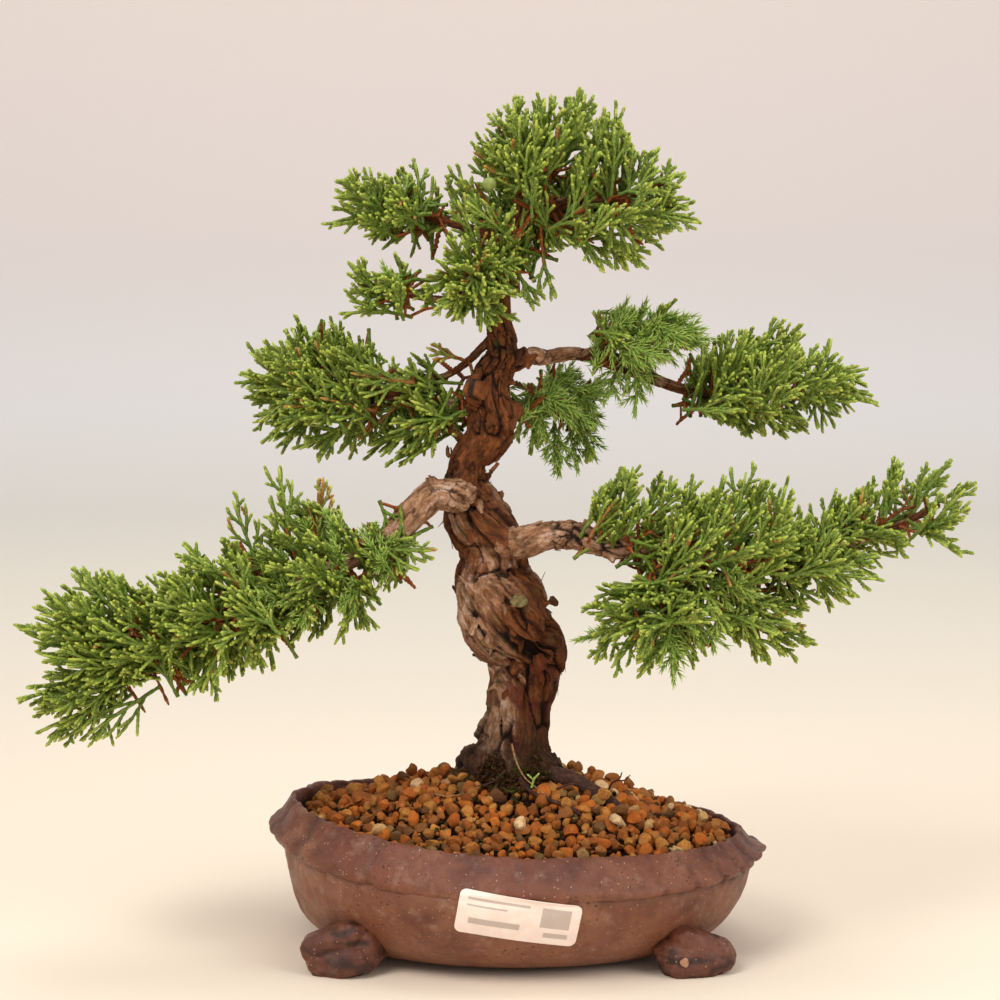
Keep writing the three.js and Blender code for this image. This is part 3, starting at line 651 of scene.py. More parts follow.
def make_pot():
    """A pinched and smoothed clay bowl with a slab folded out over its edge, torn here and there."""
    outline = np.array(OUTSIDE + FOLD + INSIDE, dtype=float)
    fine, place_on = smooth_line(outline, FINE * len(outline))
    fine[:, 1] = np.maximum(fine[:, 1], 2)
    pot = loft("pot", [(*oval(radius), height) for radius, height in fine], SEGMENTS)
    points = points_of(pot)
    flat = points.copy()
    ring = np.arange(len(points)) // SEGMENTS
    stage = place_on[ring] * (len(outline) - 1)
    first, last = len(OUTSIDE), len(OUTSIDE) + len(FOLD) - 1
    fold = ease(first - 0.6, first, stage) * ease(last + 0.9, last + 0.1, stage)
    lower_edge = ease(first - 0.5, first + 1, stage) * ease(first + 6.5, first + 3.5, stage)
    inner_edge = ease(last - 3, last - 1, stage) * ease(last + 2.2, last + 0.4, stage)
    inside = ease(last + 0.2, last + 1.2, stage)
    angle = np.arctan2(points[:, 1] / HALF_WIDTH, points[:, 0] / HALF_LENGTH)
    points[:, 2] += rim_lift(points[:, 0], points[:, 2])
    outward = unit(np.column_stack([np.cos(angle), np.sin(angle) * HALF_LENGTH / HALF_WIDTH, 0 * angle]))
    around = np.column_stack([np.cos(angle) * 90, np.sin(angle) * 72, 0 * angle])
    # along the front and back the wall swells out until the fold is nearly flush with it
    level = np.sin(angle) ** 2
    wall = 1 - ease(first - 0.9, first + 0.4, stage)
    swelling = 3.4 + 1.6 * ease(0.3, -0.3, np.cos(angle))
    push = swelling * level * wall * ease(8, 30, flat[:, 2])
    push += 1.7 * level * ease(first - 0.9, first, stage) * ease(first + 2, first, stage)
    # there the crease under the fold has been smeared full of clay
    band = ease(first - 3, first - 0.5, stage) * ease(first + 4, first + 2.5, stage)
    smeared = level * (0.45 + 0.55 * ease(0.35, -0.1, np.cos(angle))) * ease(-0.7, 0.2, rough(around, 22, 29))
    points += outward * np.maximum(push, (89.3 - fine[ring, 0]) * band * smeared)[:, None]
    # at the ends the fold is thinner and stands out flatter
    ends = np.abs(np.cos(angle)) ** 5
    points[:, 2] += lower_edge * (ends * 4.2 - 0.9 * rough(around, 14, 3))
    points += outward * (lower_edge * (0.7 * rough(around, 6, 5) + 0.5 * ends))[:, None]
    points += outward * (inner_edge * 1.0 * rough(around, 7, 7))[:, None]
    points[:, 2] += inner_edge * 0.8 * rough(around, 4, 8)
    torn = np.zeros(len(points))
    for where, depth, width in TEARS:
        gap = np.angle(np.exp(1j * (angle - where))) + 0.012 * np.sin(flat[:, 2] * 0.9)
        tear = np.exp(-((gap / width) ** 2)) * fold
        torn = np.maximum(torn, tear * min(1, depth / 1.6))
        points -= outward * (tear * depth * 0.5)[:, None]
        points[:, 2] += tear * lower_edge * depth * 0.7
    # hand-smoothed: broad dents, tool marks, and small scars
    out_wall = ease(2.5, 9, flat[:, 2]) * (1 - inside)
    points += outward * (out_wall * (1.0 * swell(flat, 34, 11) + 0.4 * swell(flat, 13, 12)))[:, None]
    points += outward * (out_wall * 0.22 * rough(flat * [1, 1, 2.2], 5, 14))[:, None]
    scar = ease(0.52, 0.7, swell(flat * [1, 1, 1.6], 6, 15)) * (1 - inside)
    points -= outward * (out_wall * scar * 0.45)[:, None]
    points[:, 2] = np.maximum(points[:, 2], 1.2)
    move_points(pot, points)
    shade = 0.4 * ease(first - 7, first, stage) + 0.6 * ease(first + 1, last - 2, stage)
    mark(pot, "lip", np.clip(shade, 0, 1))
    # painted shade inside the pot, in the crease under the fold and in the tears
    crease = ease(first - 1.3, first - 0.3, stage) * ease(first + 0.9, first + 0.1, stage)
    patchy = ease(-0.25, 0.35, rough(around, 10, 19)) * (1 - 0.75 * ease(0.25, -0.1, np.cos(angle)) * level)
    mark(pot, "painted_shade", np.clip(inside + 0.6 * crease * patchy + 0.5 * torn, 0, 1))
    settle(pot, STONEWARE, ["pot_body"], 40)


make_pot()


def slab(name, length, width, thick, roundness):
    """A pat of clay: a box with its corners pressed round."""
    deselect()
    bpy.ops.mesh.primitive_cube_add(size=2)
    pat = bpy.context.object
    pat.name = name
    bpy.ops.object.mode_set(mode="EDIT")
    bpy.ops.mesh.select_all(action="SELECT")
    bpy.ops.mesh.subdivide(number_cuts=7)
    bpy.ops.transform.tosphere(value=roundness)
    bpy.ops.transform.resize(value=(length / 2, width / 2, thick / 2))
    bpy.ops.object.mode_set(mode="OBJECT")
    return pat


def make_foot(name, side_x, side_y, pats, seed):
    """Pats of soft clay folded together, pushed up under the pot and flat where they stand."""
    node = "foot_" + name
    low, high = node_box(node)
    middle = (low + high) / 2
    lumps = []
    for out, behind, up, length, width, thick, droop in pats:
        pat = slab(node + "_pat", length, width, thick, 0.62)
        tilt = Matrix.Rotation(droop * side_x, 4, "Y")
        facing = Matrix.Rotation(-side_x * side_y * 0.3, 4, "Z")
        spot = Matrix.Translation(Vector((side_x * out, side_y * -behind, up)))
        home = Matrix.Translation(Vector((middle[0], middle[1], 0)))
        pat.data.transform(home @ facing @ spot @ tilt)
        lumps.append(pat)
    foot = join(lumps, node + "_clay")
    fuse(foot, 0.6, 3)
    points = points_of(foot)
    folds = rough(points @ np.diag([0.5, 0.7, 1.4]), 4.5, seed + 2)
    height = 1.3 * rough(points, 9, seed) + 0.55 * folds + 0.2 * rough(points, 2, seed + 1)
    points += normals_of(foot) * height[:, None]
    points[:, 2] = np.where(points[:, 2] < 0.7, 0.1 * (points[:, 2] - 0.7), points[:, 2])
    points[:, 2] = np.maximum(points[:, 2], 0)
    move_points(foot, points)
    mark(foot, "lip", np.full(len(points), 1.0))
    # painted shade in the folds of the feet, and a little all over them for the shadow under the pot
    mark(foot, "painted_shade", np.clip(0.75 * ease(0.05, -0.45, folds) + 0.1, 0, 0.85))
    settle(foot, STONEWARE, [node], 50)


# Each pat: how far out, behind and up it sits, its length, width and thickness, and how much it droops
# inwards, in radians.
FOLDED = [(2, 0, 12.0, 23, 17, 8.5, 0.40), (-1, 0, 5.0, 22, 18, 10, 0.14), (-7, 2, 9, 15, 15, 11, 0.3)]
WEDGED = [(1, 0, 5.2, 24, 17, 10.4, -0.04), (2, 1, 9.6, 21, 16, 9, 0.42), (-5, 1, 6.5, 18, 15, 8, 0.3)]
make_foot("front_left", -1, -1, FOLDED, 21)
make_foot("front_right", 1, -1, WEDGED, 31)
make_foot("back_left", -1, 1, WEDGED, 41)
make_foot("back_right", 1, 1, FOLDED, 51)


def make_pebble():
    """A small pale stone pressed into the front of the right foot."""
    low, high = node_box("foot_front_right")
    pebble = lump("pebble", ((low[0] + high[0]) / 2 - 4, low[1] + 0.6, 6.4), (1.5, 1.1, 1.8), 3)
    raise_skin(pebble, 0.3 * swell(points_of(pebble), 1.6, 2))
    settle(pebble, PEBBLE_STONE)


make_pebble()


LABEL_LENGTH, LABEL_HEIGHT, LABEL_CORNER, LABEL_THICKNESS = 42.5, 16.5, 2.4, 0.2
LABEL_TILT = -0.17
LABEL_MIDDLE = 25.8  # its middle's height


def make_label():
    """A sticker pressed on the wall, its upper edge riding up over the crease under the fold."""
    length, height, radius, tilt = LABEL_LENGTH, LABEL_HEIGHT, LABEL_CORNER, LABEL_TILT
    deselect()
    bpy.ops.mesh.primitive_grid_add(x_subdivisions=56, y_subdivisions=24, size=2)
    label = bpy.context.object
    label.name = "paper_label"
    points = points_of(label)
    u, v = points[:, 0].copy(), points[:, 1].copy()
    across, up = u * length / 2, v * height / 2
    over_x = np.clip((np.abs(across) - (length / 2 - radius)) / radius, 0, 1)
    over_y = np.clip((np.abs(up) - (height / 2 - radius)) / radius, 0, 1)
    corner_x = (length / 2 - radius + radius * over_x * np.sqrt(1 - over_y**2 / 2)) * np.sign(across)
    corner_y = (height / 2 - radius + radius * over_y * np.sqrt(1 - over_x**2 / 2)) * np.sign(up)
    across = np.where(over_x > 0, corner_x, across)
    up = np.where(over_y > 0, corner_y, up)
    flat_x = across * math.cos(tilt) - up * math.sin(tilt)
    flat_z = LABEL_MIDDLE + across * math.sin(tilt) + up * math.cos(tilt)
    pot = bpy.data.objects["pot"]
    flat_y = np.zeros(len(points))
    for i, (x, z) in enumerate(zip(flat_x, flat_z)):
        start = INTO_FRAME @ Vector((x, -HALF_WIDTH - 20, z))
        hit, spot, _, _ = pot.ray_cast(start, Vector((0, 1, 0)))
        flat_y[i] = (INTO_FRAME.inverted() @ spot).y if hit else -HALF_WIDTH
    # paper bridges small dents, so each row lies on the smooth curve just outside the clay
    for row in np.unique(np.round(v, 4)):
        own = np.abs(v - row) < 1e-3
        fit = np.polyfit(u[own], flat_y[own], 4)
        smooth = np.polyval(fit, u[own])
        flat_y[own] = smooth + min(0.0, (flat_y[own] - smooth).min()) - 0.25
    move_points(label, np.column_stack([flat_x, flat_y, flat_z]))
    layer = label.data.uv_layers[0]
    layer.name = "OFBake"
    for polygon in label.data.polygons:
        for loop in polygon.loop_indices:
            vertex = label.data.loops[loop].vertex_index
            layer.data[loop].uv = ((u[vertex] + 1) / 2, (v[vertex] + 1) / 2)
    pick(label)
    thicken = label.modifiers.new("thickness", "SOLIDIFY")
    thicken.thickness = LABEL_THICKNESS
    thicken.offset = 0
    bpy.ops.object.modifier_apply(modifier=thicken.name)
    settle(label, PAPER, ["label"], 40)


make_label()


def dress_drain_meshes():
    """The two meshes keep the frame's shape and get their plastic."""
    for side in ("left", "right"):
        mesh_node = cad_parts["drain_mesh_" + side]
        mesh_node.data.materials.clear()
        mesh_node.data.materials.append(PLASTIC_MESH)


dress_drain_meshes()


# ------------------------------------------------------------------------------------------ Soil
SOIL_RADIUS = WALL_RADIUS - 6.2
SOIL_EDGE = POT_HEIGHT - 4.5
MOUND = 24
MOUND_CURVE = 1.15
TRUNK_FOOT = (-3.0, -1.0, 15.5)  # where the trunk meets the soil: x, y and radius


def soil_height(x, y):
    """The top of the compost under the grains."""
    half_width = oval(SOIL_RADIUS)[1]
    share = np.clip(np.hypot(x / SOIL_RADIUS, y / half_width), 0, 1)
    level = SOIL_EDGE + MOUND * (1 - share**MOUND_CURVE) * (1 - 0.12 * ease(0.3, 0, share))
    lift = rim_lift(np.asarray(x), np.full(np.shape(x), POT_HEIGHT))
    return level + 0.75 * lift + 1.2 * swell(np.column_stack([x, y, x * 0]), 16, 77)


def bareness(x, y):
    """Above 0.5 where the grains are thin and black compost shows."""
    flat = np.column_stack([x, y, x * 0])
    return 0.75 * swell(flat, 12, 91) + 0.35 * swell(flat, 5, 92)


def make_compost_bed():
    """The bed itself: closed underneath, crumbly on top."""
    steps = np.linspace(0.03, 1, 76)
    below = [(*oval(radius), height) for radius, height in
             [(20, 8.4), (49, 8.4), (61, 9.2), (69, 13), (74.5, 20), (77.4, 28), (78.6, 36)]]
    above = [(*oval(SOIL_RADIUS * share), SOIL_EDGE + 30 * (1 - share)) for share in steps[::-1]]
    bed = loft("compost_bed", below + above, 240)
    points = points_of(bed)
    top = points[:, 2] >= SOIL_EDGE - 0.01
    points[top, 2] = soil_height(points[top, 0], points[top, 1])
    crumbs = 1.0 * rough(points, 3.4, 5) + 0.6 * rough(points, 1.4, 6)
    points[:, 2] += np.where(top, crumbs, 0)
    move_points(bed, points)
    settle(bed, COMPOST, ["soil_bed"], 60)


make_compost_bed()


def grain_shapes(count, rng):
    """Broken and tumbled clay: an 80-sided ball with flats knocked off it."""
    shapes = []
    for number in range(count):
        points, faces = shape_of(lump("grain_shape", (0, 0, 0), (1, 1, 1), 2))
        for _ in range(9):
            way = unit(rng.normal(size=3))
            beyond = np.maximum(points @ way - rng.uniform(0.45, 0.85), 0)
            points -= np.outer(beyond, way)
        points *= 1 + 0.09 * swell(points * 10 + 50 * number, 7, number)[:, None]
        points *= rng.uniform(0.78, 1.3, 3)
        shapes.append((points / np.linalg.norm(points, axis=1).mean() * 0.95, faces))
    return shapes


def turns(rng, count):
    """Random rotations as 3 by 3 matrices."""
    w, x, y, z = unit(rng.normal(size=(count, 4))).T
    rows = [1 - 2 * (y * y + z * z), 2 * (x * y - z * w), 2 * (x * z + y * w),
            2 * (x * y + z * w), 1 - 2 * (x * x + z * z), 2 * (y * z - x * w),
            2 * (x * z - y * w), 2 * (y * z + x * w), 1 - 2 * (x * x + y * y)]
    return np.stack(rows, axis=-1).reshape(-1, 3, 3)


def heap(name, shapes, spots, radii, rng, surface):
    """Copies of a few grain shapes, each turned its own way and with its own tint."""
    tints = rng.uniform(0, 0.99, len(spots))
    spin = turns(rng, len(spots))
    all_points, all_faces, all_uvs, start = [], [], [], 0
    for i, (spot, radius, tint) in enumerate(zip(spots, radii, tints)):
        points, faces = shapes[i % len(shapes)]
        all_points.append(points @ spin[i].T * radius + spot)
        all_faces.append(faces + start)
        start += len(points)
        around = np.array([[0.0, 0.1], [1.0, 0.1], [0.5, 0.9]])
        all_uvs.append(np.tile(around * [0.004, 1] + [tint, 0], (len(faces), 1)))
    piece = from_arrays(name, np.vstack(all_points), np.vstack(all_faces), np.vstack(all_uvs))
    return settle(piece, surface, (), 32)


# Three sizes of grain: their radii, how many places are tried, and how closely they may lie.
GRAIN_SIZES = [((2.1, 3.0), 2000, 0.86), ((1.5, 2.2), 6500, 0.84), ((0.85, 1.5), 12000, 0.8)]


def scatter_grains(rng):
    """Places for grains that lie side by side, largest first, as rows of x, y and radius."""
    spots, near = [], {}
    half_width = oval(SOIL_RADIUS)[1]
    for size_band, tries, gap in GRAIN_SIZES:
        angle = rng.uniform(0, 2 * math.pi, tries)
        share = np.sqrt(rng.uniform(0, 1, tries))
        radius = rng.uniform(*size_band, tries)
        x = np.cos(angle) * share * (SOIL_RADIUS - radius - 0.6)
        y = np.sin(angle) * share * (half_width - radius - 0.6)
        from_trunk = np.hypot(x - TRUNK_FOOT[0], y - TRUNK_FOOT[1])
        free = from_trunk > TRUNK_FOOT[2] + radius + rng.uniform(0, 2.5, tries)
        covered = (bareness(x, y) < 0.36) | (rng.uniform(size=tries) < 0.12)
        for i in np.flatnonzero(free & covered):
            cell = (int(x[i] // 7), int(y[i] // 7))
            around = [near.get((cell[0] + a, cell[1] + b), []) for a in (-1, 0, 1) for b in (-1, 0, 1)]
            others = [other for group in around for other in group]
            if any(math.hypot(x[i] - a, y[i] - b) < gap * (radius[i] + r) for a, b, r in others):
                continue
            near.setdefault(cell, []).append((x[i], y[i], radius[i]))
            spots.append((x[i], y[i], radius[i]))
    return np.array(spots)


def make_grains():
    """Baked clay grains 3 to 6 mm across in a loose layer and a half, with crumbs between them."""
    rng = np.random.default_rng(7)
    shapes = grain_shapes(14, rng)
    spots = scatter_grains(rng)
    radii = spots[:, 2]
    rest = soil_height(spots[:, 0], spots[:, 1]) + radii * rng.uniform(0.25, 0.8, len(radii))
    lower = np.column_stack([spots[:, 0], spots[:, 1], rest])
    # a few more lie on top of the first layer
    some = rng.choice(len(lower), len(lower) // 3, replace=False)
    upper = lower[some] + rng.normal(0, 1.5, (len(some), 3))
    upper[:, 2] = lower[some, 2] + radii[some] * rng.uniform(0.7, 1.2, len(some))
    reach = np.hypot(upper[:, 0] / (SOIL_RADIUS - 3), upper[:, 1] / (oval(SOIL_RADIUS)[1] - 3))
    clear = np.hypot(upper[:, 0] - TRUNK_FOOT[0], upper[:, 1] - TRUNK_FOOT[1]) > TRUNK_FOOT[2] + 3
    keep = (reach < 1) & clear
    centres = np.vstack([lower, upper[keep]])
    sizes = np.concatenate([radii, radii[some][keep] * 0.9])
    heap("clay_grains", shapes, centres, sizes, rng, BAKED_CLAY)
    # crumbs of black compost and moss in the gaps
    count = 1500
    angle, share = rng.uniform(0, 2 * math.pi, count), np.sqrt(rng.uniform(0, 1, count))
    x, y = np.cos(angle) * share * (SOIL_RADIUS - 2), np.sin(angle) * share * (oval(SOIL_RADIUS)[1] - 2)
    crumbs = np.column_stack([x, y, soil_height(x, y) + rng.uniform(0.2, 1.4, count)])
    heap("compost_crumbs", shapes, crumbs, rng.uniform(0.4, 1.3, count), rng, MOSS)
    return shapes


GRAIN_SHAPES = make_grains()


# -------------------------------------------------------------------------------- Trunk and branches
# Each limb: its points (x, y, z) and the radius at each, in mm.
TRUNK = [
    (-4, 0, 50, 17), (-4, 0, 61, 17.2), (-3, 0, 67, 15.6), (-1.3, 0, 75, 13.6), (0, 1, 82, 12.4),
    (1, 2, 90, 12.3), (2.5, 3, 97, 12.8), (2.8, 3, 105, 13.6), (1.5, 2, 112, 14.6), (-3.5, -1, 119, 16.6),
    (-6, -2, 127, 16.4), (-8.8, -1, 134, 14.4), (-8.6, 0, 141.5, 13), (-10.4, 1, 149, 12.2),
    (-14.6, 2, 156, 11.8), (-16.5, 3, 161, 10.4), (-18.4, 4, 167, 9.2), (-18, 5, 172, 8.2),
    (-16.9, 5, 178, 7.5), (-11, 4, 184.5, 8.2), (-9.5, 4, 189, 8.8), (-8.4, 3, 195, 7.4), (-9, 3, 203, 7),
    (-8, 3, 209, 6.9), (-4.8, 2, 216, 6.2), (-6.2, 1, 225, 5), (-6.5, 0, 235, 4.2), (-5, 0, 247, 3.5),
    (-1, 0, 258, 3), (2, 0, 270, 2.5), (4, 1, 284, 1.7), (5, 1, 294, 1.1),
]
BRANCHES = {
    "branch_lower_left": [
        (-17, 0, 163, 7), (-22, -7, 165.5, 6.4), (-29, -12, 166.8, 5.8), (-35, -14, 162.5, 5.6),
        (-41, -16, 156.5, 5), (-47, -18, 151, 4.6), (-58, -20, 145, 3.6), (-77, -24, 136, 2.9),
        (-98, -28, 127, 2.4), (-123, -30, 117, 1.8), (-146, -31, 107, 1.2),
    ],
    "branch_lower_right": [
        (-8, 0, 147, 7), (3, -11, 149.5, 6.2), (9, -14, 151.5, 5.2), (19, -17, 152.6, 4.9),
        (28, -18, 150.2, 4.5), (37, -20, 148.4, 4.2), (48, -20, 148.6, 3.7), (66, -20, 146, 3),
        (88, -15, 143, 2.5), (112, -8, 148, 2), (131, 0, 151, 1.6), (154, 5, 161, 1.1),
    ],
    "branch_lower_right_drop": [
        (48, -20, 148, 2.8), (52, -26, 139.5, 2.5), (53, -32, 131, 1.9), (50, -35, 121, 1.1),
    ],
    "branch_middle_left": [
        (-9, 3, 197, 3.4), (-15, 5, 197.6, 2.7), (-24, 9, 197, 2.4), (-36, 15, 198.5, 2.2),
        (-51, 19, 201, 1.8), (-69, 23, 202.5, 1.4), (-88, 25, 204, 0.9),
    ],
    "twig_middle_left": [
        (-5, 1, 226, 2), (-11, 4, 220, 1.7), (-16, 6, 215, 1.6), (-22, 10, 210, 1.4), (-30, 12, 207, 1.2),
        (-45, 9, 210, 0.8),
    ],
    "branch_middle_right": [
        (-6, 2, 213, 4), (4, 6, 215, 3.4), (10, 10, 214.6, 2.9), (23, 14, 215.4, 2.5),
        (41, 18, 209.5, 2.3), (64, 22, 201.5, 2.1), (90, 25, 200.5, 1.5), (112, 28, 204, 1.1),
        (121, 29, 207, 0.8),
    ],
    "twig_middle_right": [(22, 13, 215, 1.8), (34, 16, 218, 1.5), (45, 18, 219, 1.2), (56, 19, 220, 0.8)],
    "branch_small_right": [
        (-9, 4, 193, 3.2), (3, 12, 194, 2.7), (11, 20, 194.6, 2.5), (20, 30, 192, 1.8), (27, 35, 186, 1),
    ],
    "branch_upper_left": [
        (-6, 1, 236, 2.6), (-21, -4, 235, 2), (-28, -6, 236, 1.7), (-37, -8, 237.5, 1.4),
        (-46, -10, 240, 1.1), (-57, -10, 242, 0.8),
    ],
    "branch_crown_front": [
        (-5, 0, 246, 2.3), (-11, -8, 247, 1.8), (-17, -18, 244, 1.3), (-20, -26, 238, 0.9),
    ],
    "branch_crown_left": [
        (-3, 0, 256, 2.3), (-20, 4, 262, 1.8), (-35, 8, 266, 1.4), (-50, 10, 270, 1.1),
        (-60, 12, 273, 0.8),
    ],
    "branch_crown_right": [
        (0, 0, 262, 2.5), (8, -2, 267, 2.3), (19, -4, 271, 2), (29, -6, 272, 1.7), (43, -8, 274, 1.2),
        (53, -8, 278, 0.8),
    ],
    "branch_crown_back": [(1, 0, 266, 2.2), (4, 12, 270, 1.7), (8, 24, 272, 1.3), (10, 32, 270, 0.9)],
}
# Swellings and knots on the trunk: centre and radii.
KNOTS = [
    ((-9, -6, 124), (12.5, 12, 11.5)), ((1, -12.5, 120), (9.5, 8.5, 9)), ((9, -4, 108), (9, 10, 13)),
    ((-12, -6, 132), (9, 9, 9)), ((-17, -2, 162), (8.5, 8, 7)), ((-23, -8, 167), (7, 7, 5)),
    ((-4, -9, 149), (8, 7, 6.5)), ((-6, -2, 192), (5.5, 6.5, 4.5)), ((-15, 0, 203), (3.6, 4, 6.5)),
    ((-1, 0, 214), (6, 5, 4.6)), ((-9, -4, 68), (11, 9, 9)), ((6, -4, 66), (9, 9, 8)),
    ((2, 8, 66), (11, 9, 8)), ((-13, 4, 66), (9, 9, 8)), ((-13.5, 2, 186), (4.5, 4, 4)),
    ((19, -16, 153.4), (4.4, 4.6, 4.6)), ((-7, 4, 122), (12, 12, 12)), ((-4, 5, 134), (10, 10, 10)),
    ((-2, 2, 196), (4.5, 4, 4)), ((37, -20, 149), (4.5, 4.4, 4.4)),
]
# Pruned and broken stubs: both ends and the radius at each.
STUBS = [
    ((0, -13, 125), (0.4, -21.0, 129.3), 4.4, 3.7), ((-14, -3, 203), (-16.5, -7.5, 204.5), 3.8, 3.0),
    ((-7, -8, 113), (-9.5, -16.5, 108.3), 1.6, 1.1), ((-1, -3, 214), (3.2, -5.5, 219), 3.0, 1.7),
    ((3, -3, 214), (7.5, -5, 216.5), 2.2, 1.3), ((-4, 0, 207), (7, -2, 202.5), 1.3, 0.5),
    ((-27, 9, 197), (-28.8, 8, 191.4), 2.1, 1.4), ((-11, -3, 172), (-6.5, -4, 177.5), 1.9, 1.0),
    ((-21, 2, 186), (-25, 0, 189.5), 1.4, 0.8), ((-22, 0, 178), (-25.5, -2, 181.5), 1.5, 0.8),
    ((24, -17, 154), (24.5, -18, 158.5), 1.4, 0.9), ((-30, -13, 170), (-31, -14, 173.5), 2.6, 1.7),
    ((9, -6, 126), (13.6, -7, 127.5), 2.3, 1.2), ((33, -20, 146), (34, -23, 143.8), 1.3, 0.7),
    ((-6, -3, 97), (-11.5, -7, 94), 1.6, 0.9),
]


# How much nearer the trunk is taken to be, so that its bark runs on over the collars of the branches.
TRUNK_FIRST = 0.85
# The cut ends of two stubs, which no loose bark covers.
PRUNED_END = (0.45, -21.6, 129.5)
SCARRED_END = (-16.1, -7.0, 204.4)
CLEAR_OF_CUTS = 7
LOOSE_PLATES = 150


def limb_line(stations, steps):
    """A limb's smooth middle line, and the radius at each of its points."""
    line, _ = smooth_line(stations, steps)
    return line[:, :3], line[:, 3]


def straighten(points, lines):
    """Each point's place on the limb it belongs to, as two parts round it and one along it, then the limb's
    number, its radius there and its direction."""
    middle, ahead, length, thickness, owner = [], [], [], [], []
    for number, (line, radii) in enumerate(lines):
        run = np.concatenate([[0], np.cumsum(np.linalg.norm(np.diff(line, axis=0), axis=1))])
        middle.append(line)
        ahead.append(unit(np.gradient(line, axis=0)))
        length.append(run + 61 * number)
        thickness.append(radii)
        owner.append(np.full(len(line), number))
    middle, ahead = np.vstack(middle), np.vstack(ahead)
    length, thickness, owner = (np.concatenate(part) for part in (length, thickness, owner))
    tree = KDTree(len(middle))
    for i, spot in enumerate(middle):
        tree.insert(spot, i)
    tree.balance()
    closest = [[(d / (0.5 + thickness[i]), i) for _, i, d in tree.find_n(p, 24)] for p in points]
    share = np.where(owner == 0, TRUNK_FIRST, 1)
    nearest = np.array([min((d * share[i], i) for d, i in row)[1] for row in closest])
    offset = points - middle[nearest]
    forward = ahead[nearest]
    run = length[nearest] + np.einsum("ij,ij->i", offset, forward)
    side = unit(np.cross(forward, [0.0, 1.0, 0.0]))
    other = np.cross(forward, side)
    angle = np.arctan2(np.einsum("ij,ij->i", offset, other), np.einsum("ij,ij->i", offset, side)) + 0.02 * run
    wrap = np.maximum(thickness[nearest], 3)
    wrapped = np.column_stack([np.cos(angle) * wrap, np.sin(angle) * wrap, run])
    return wrapped, owner[nearest], thickness[nearest], forward


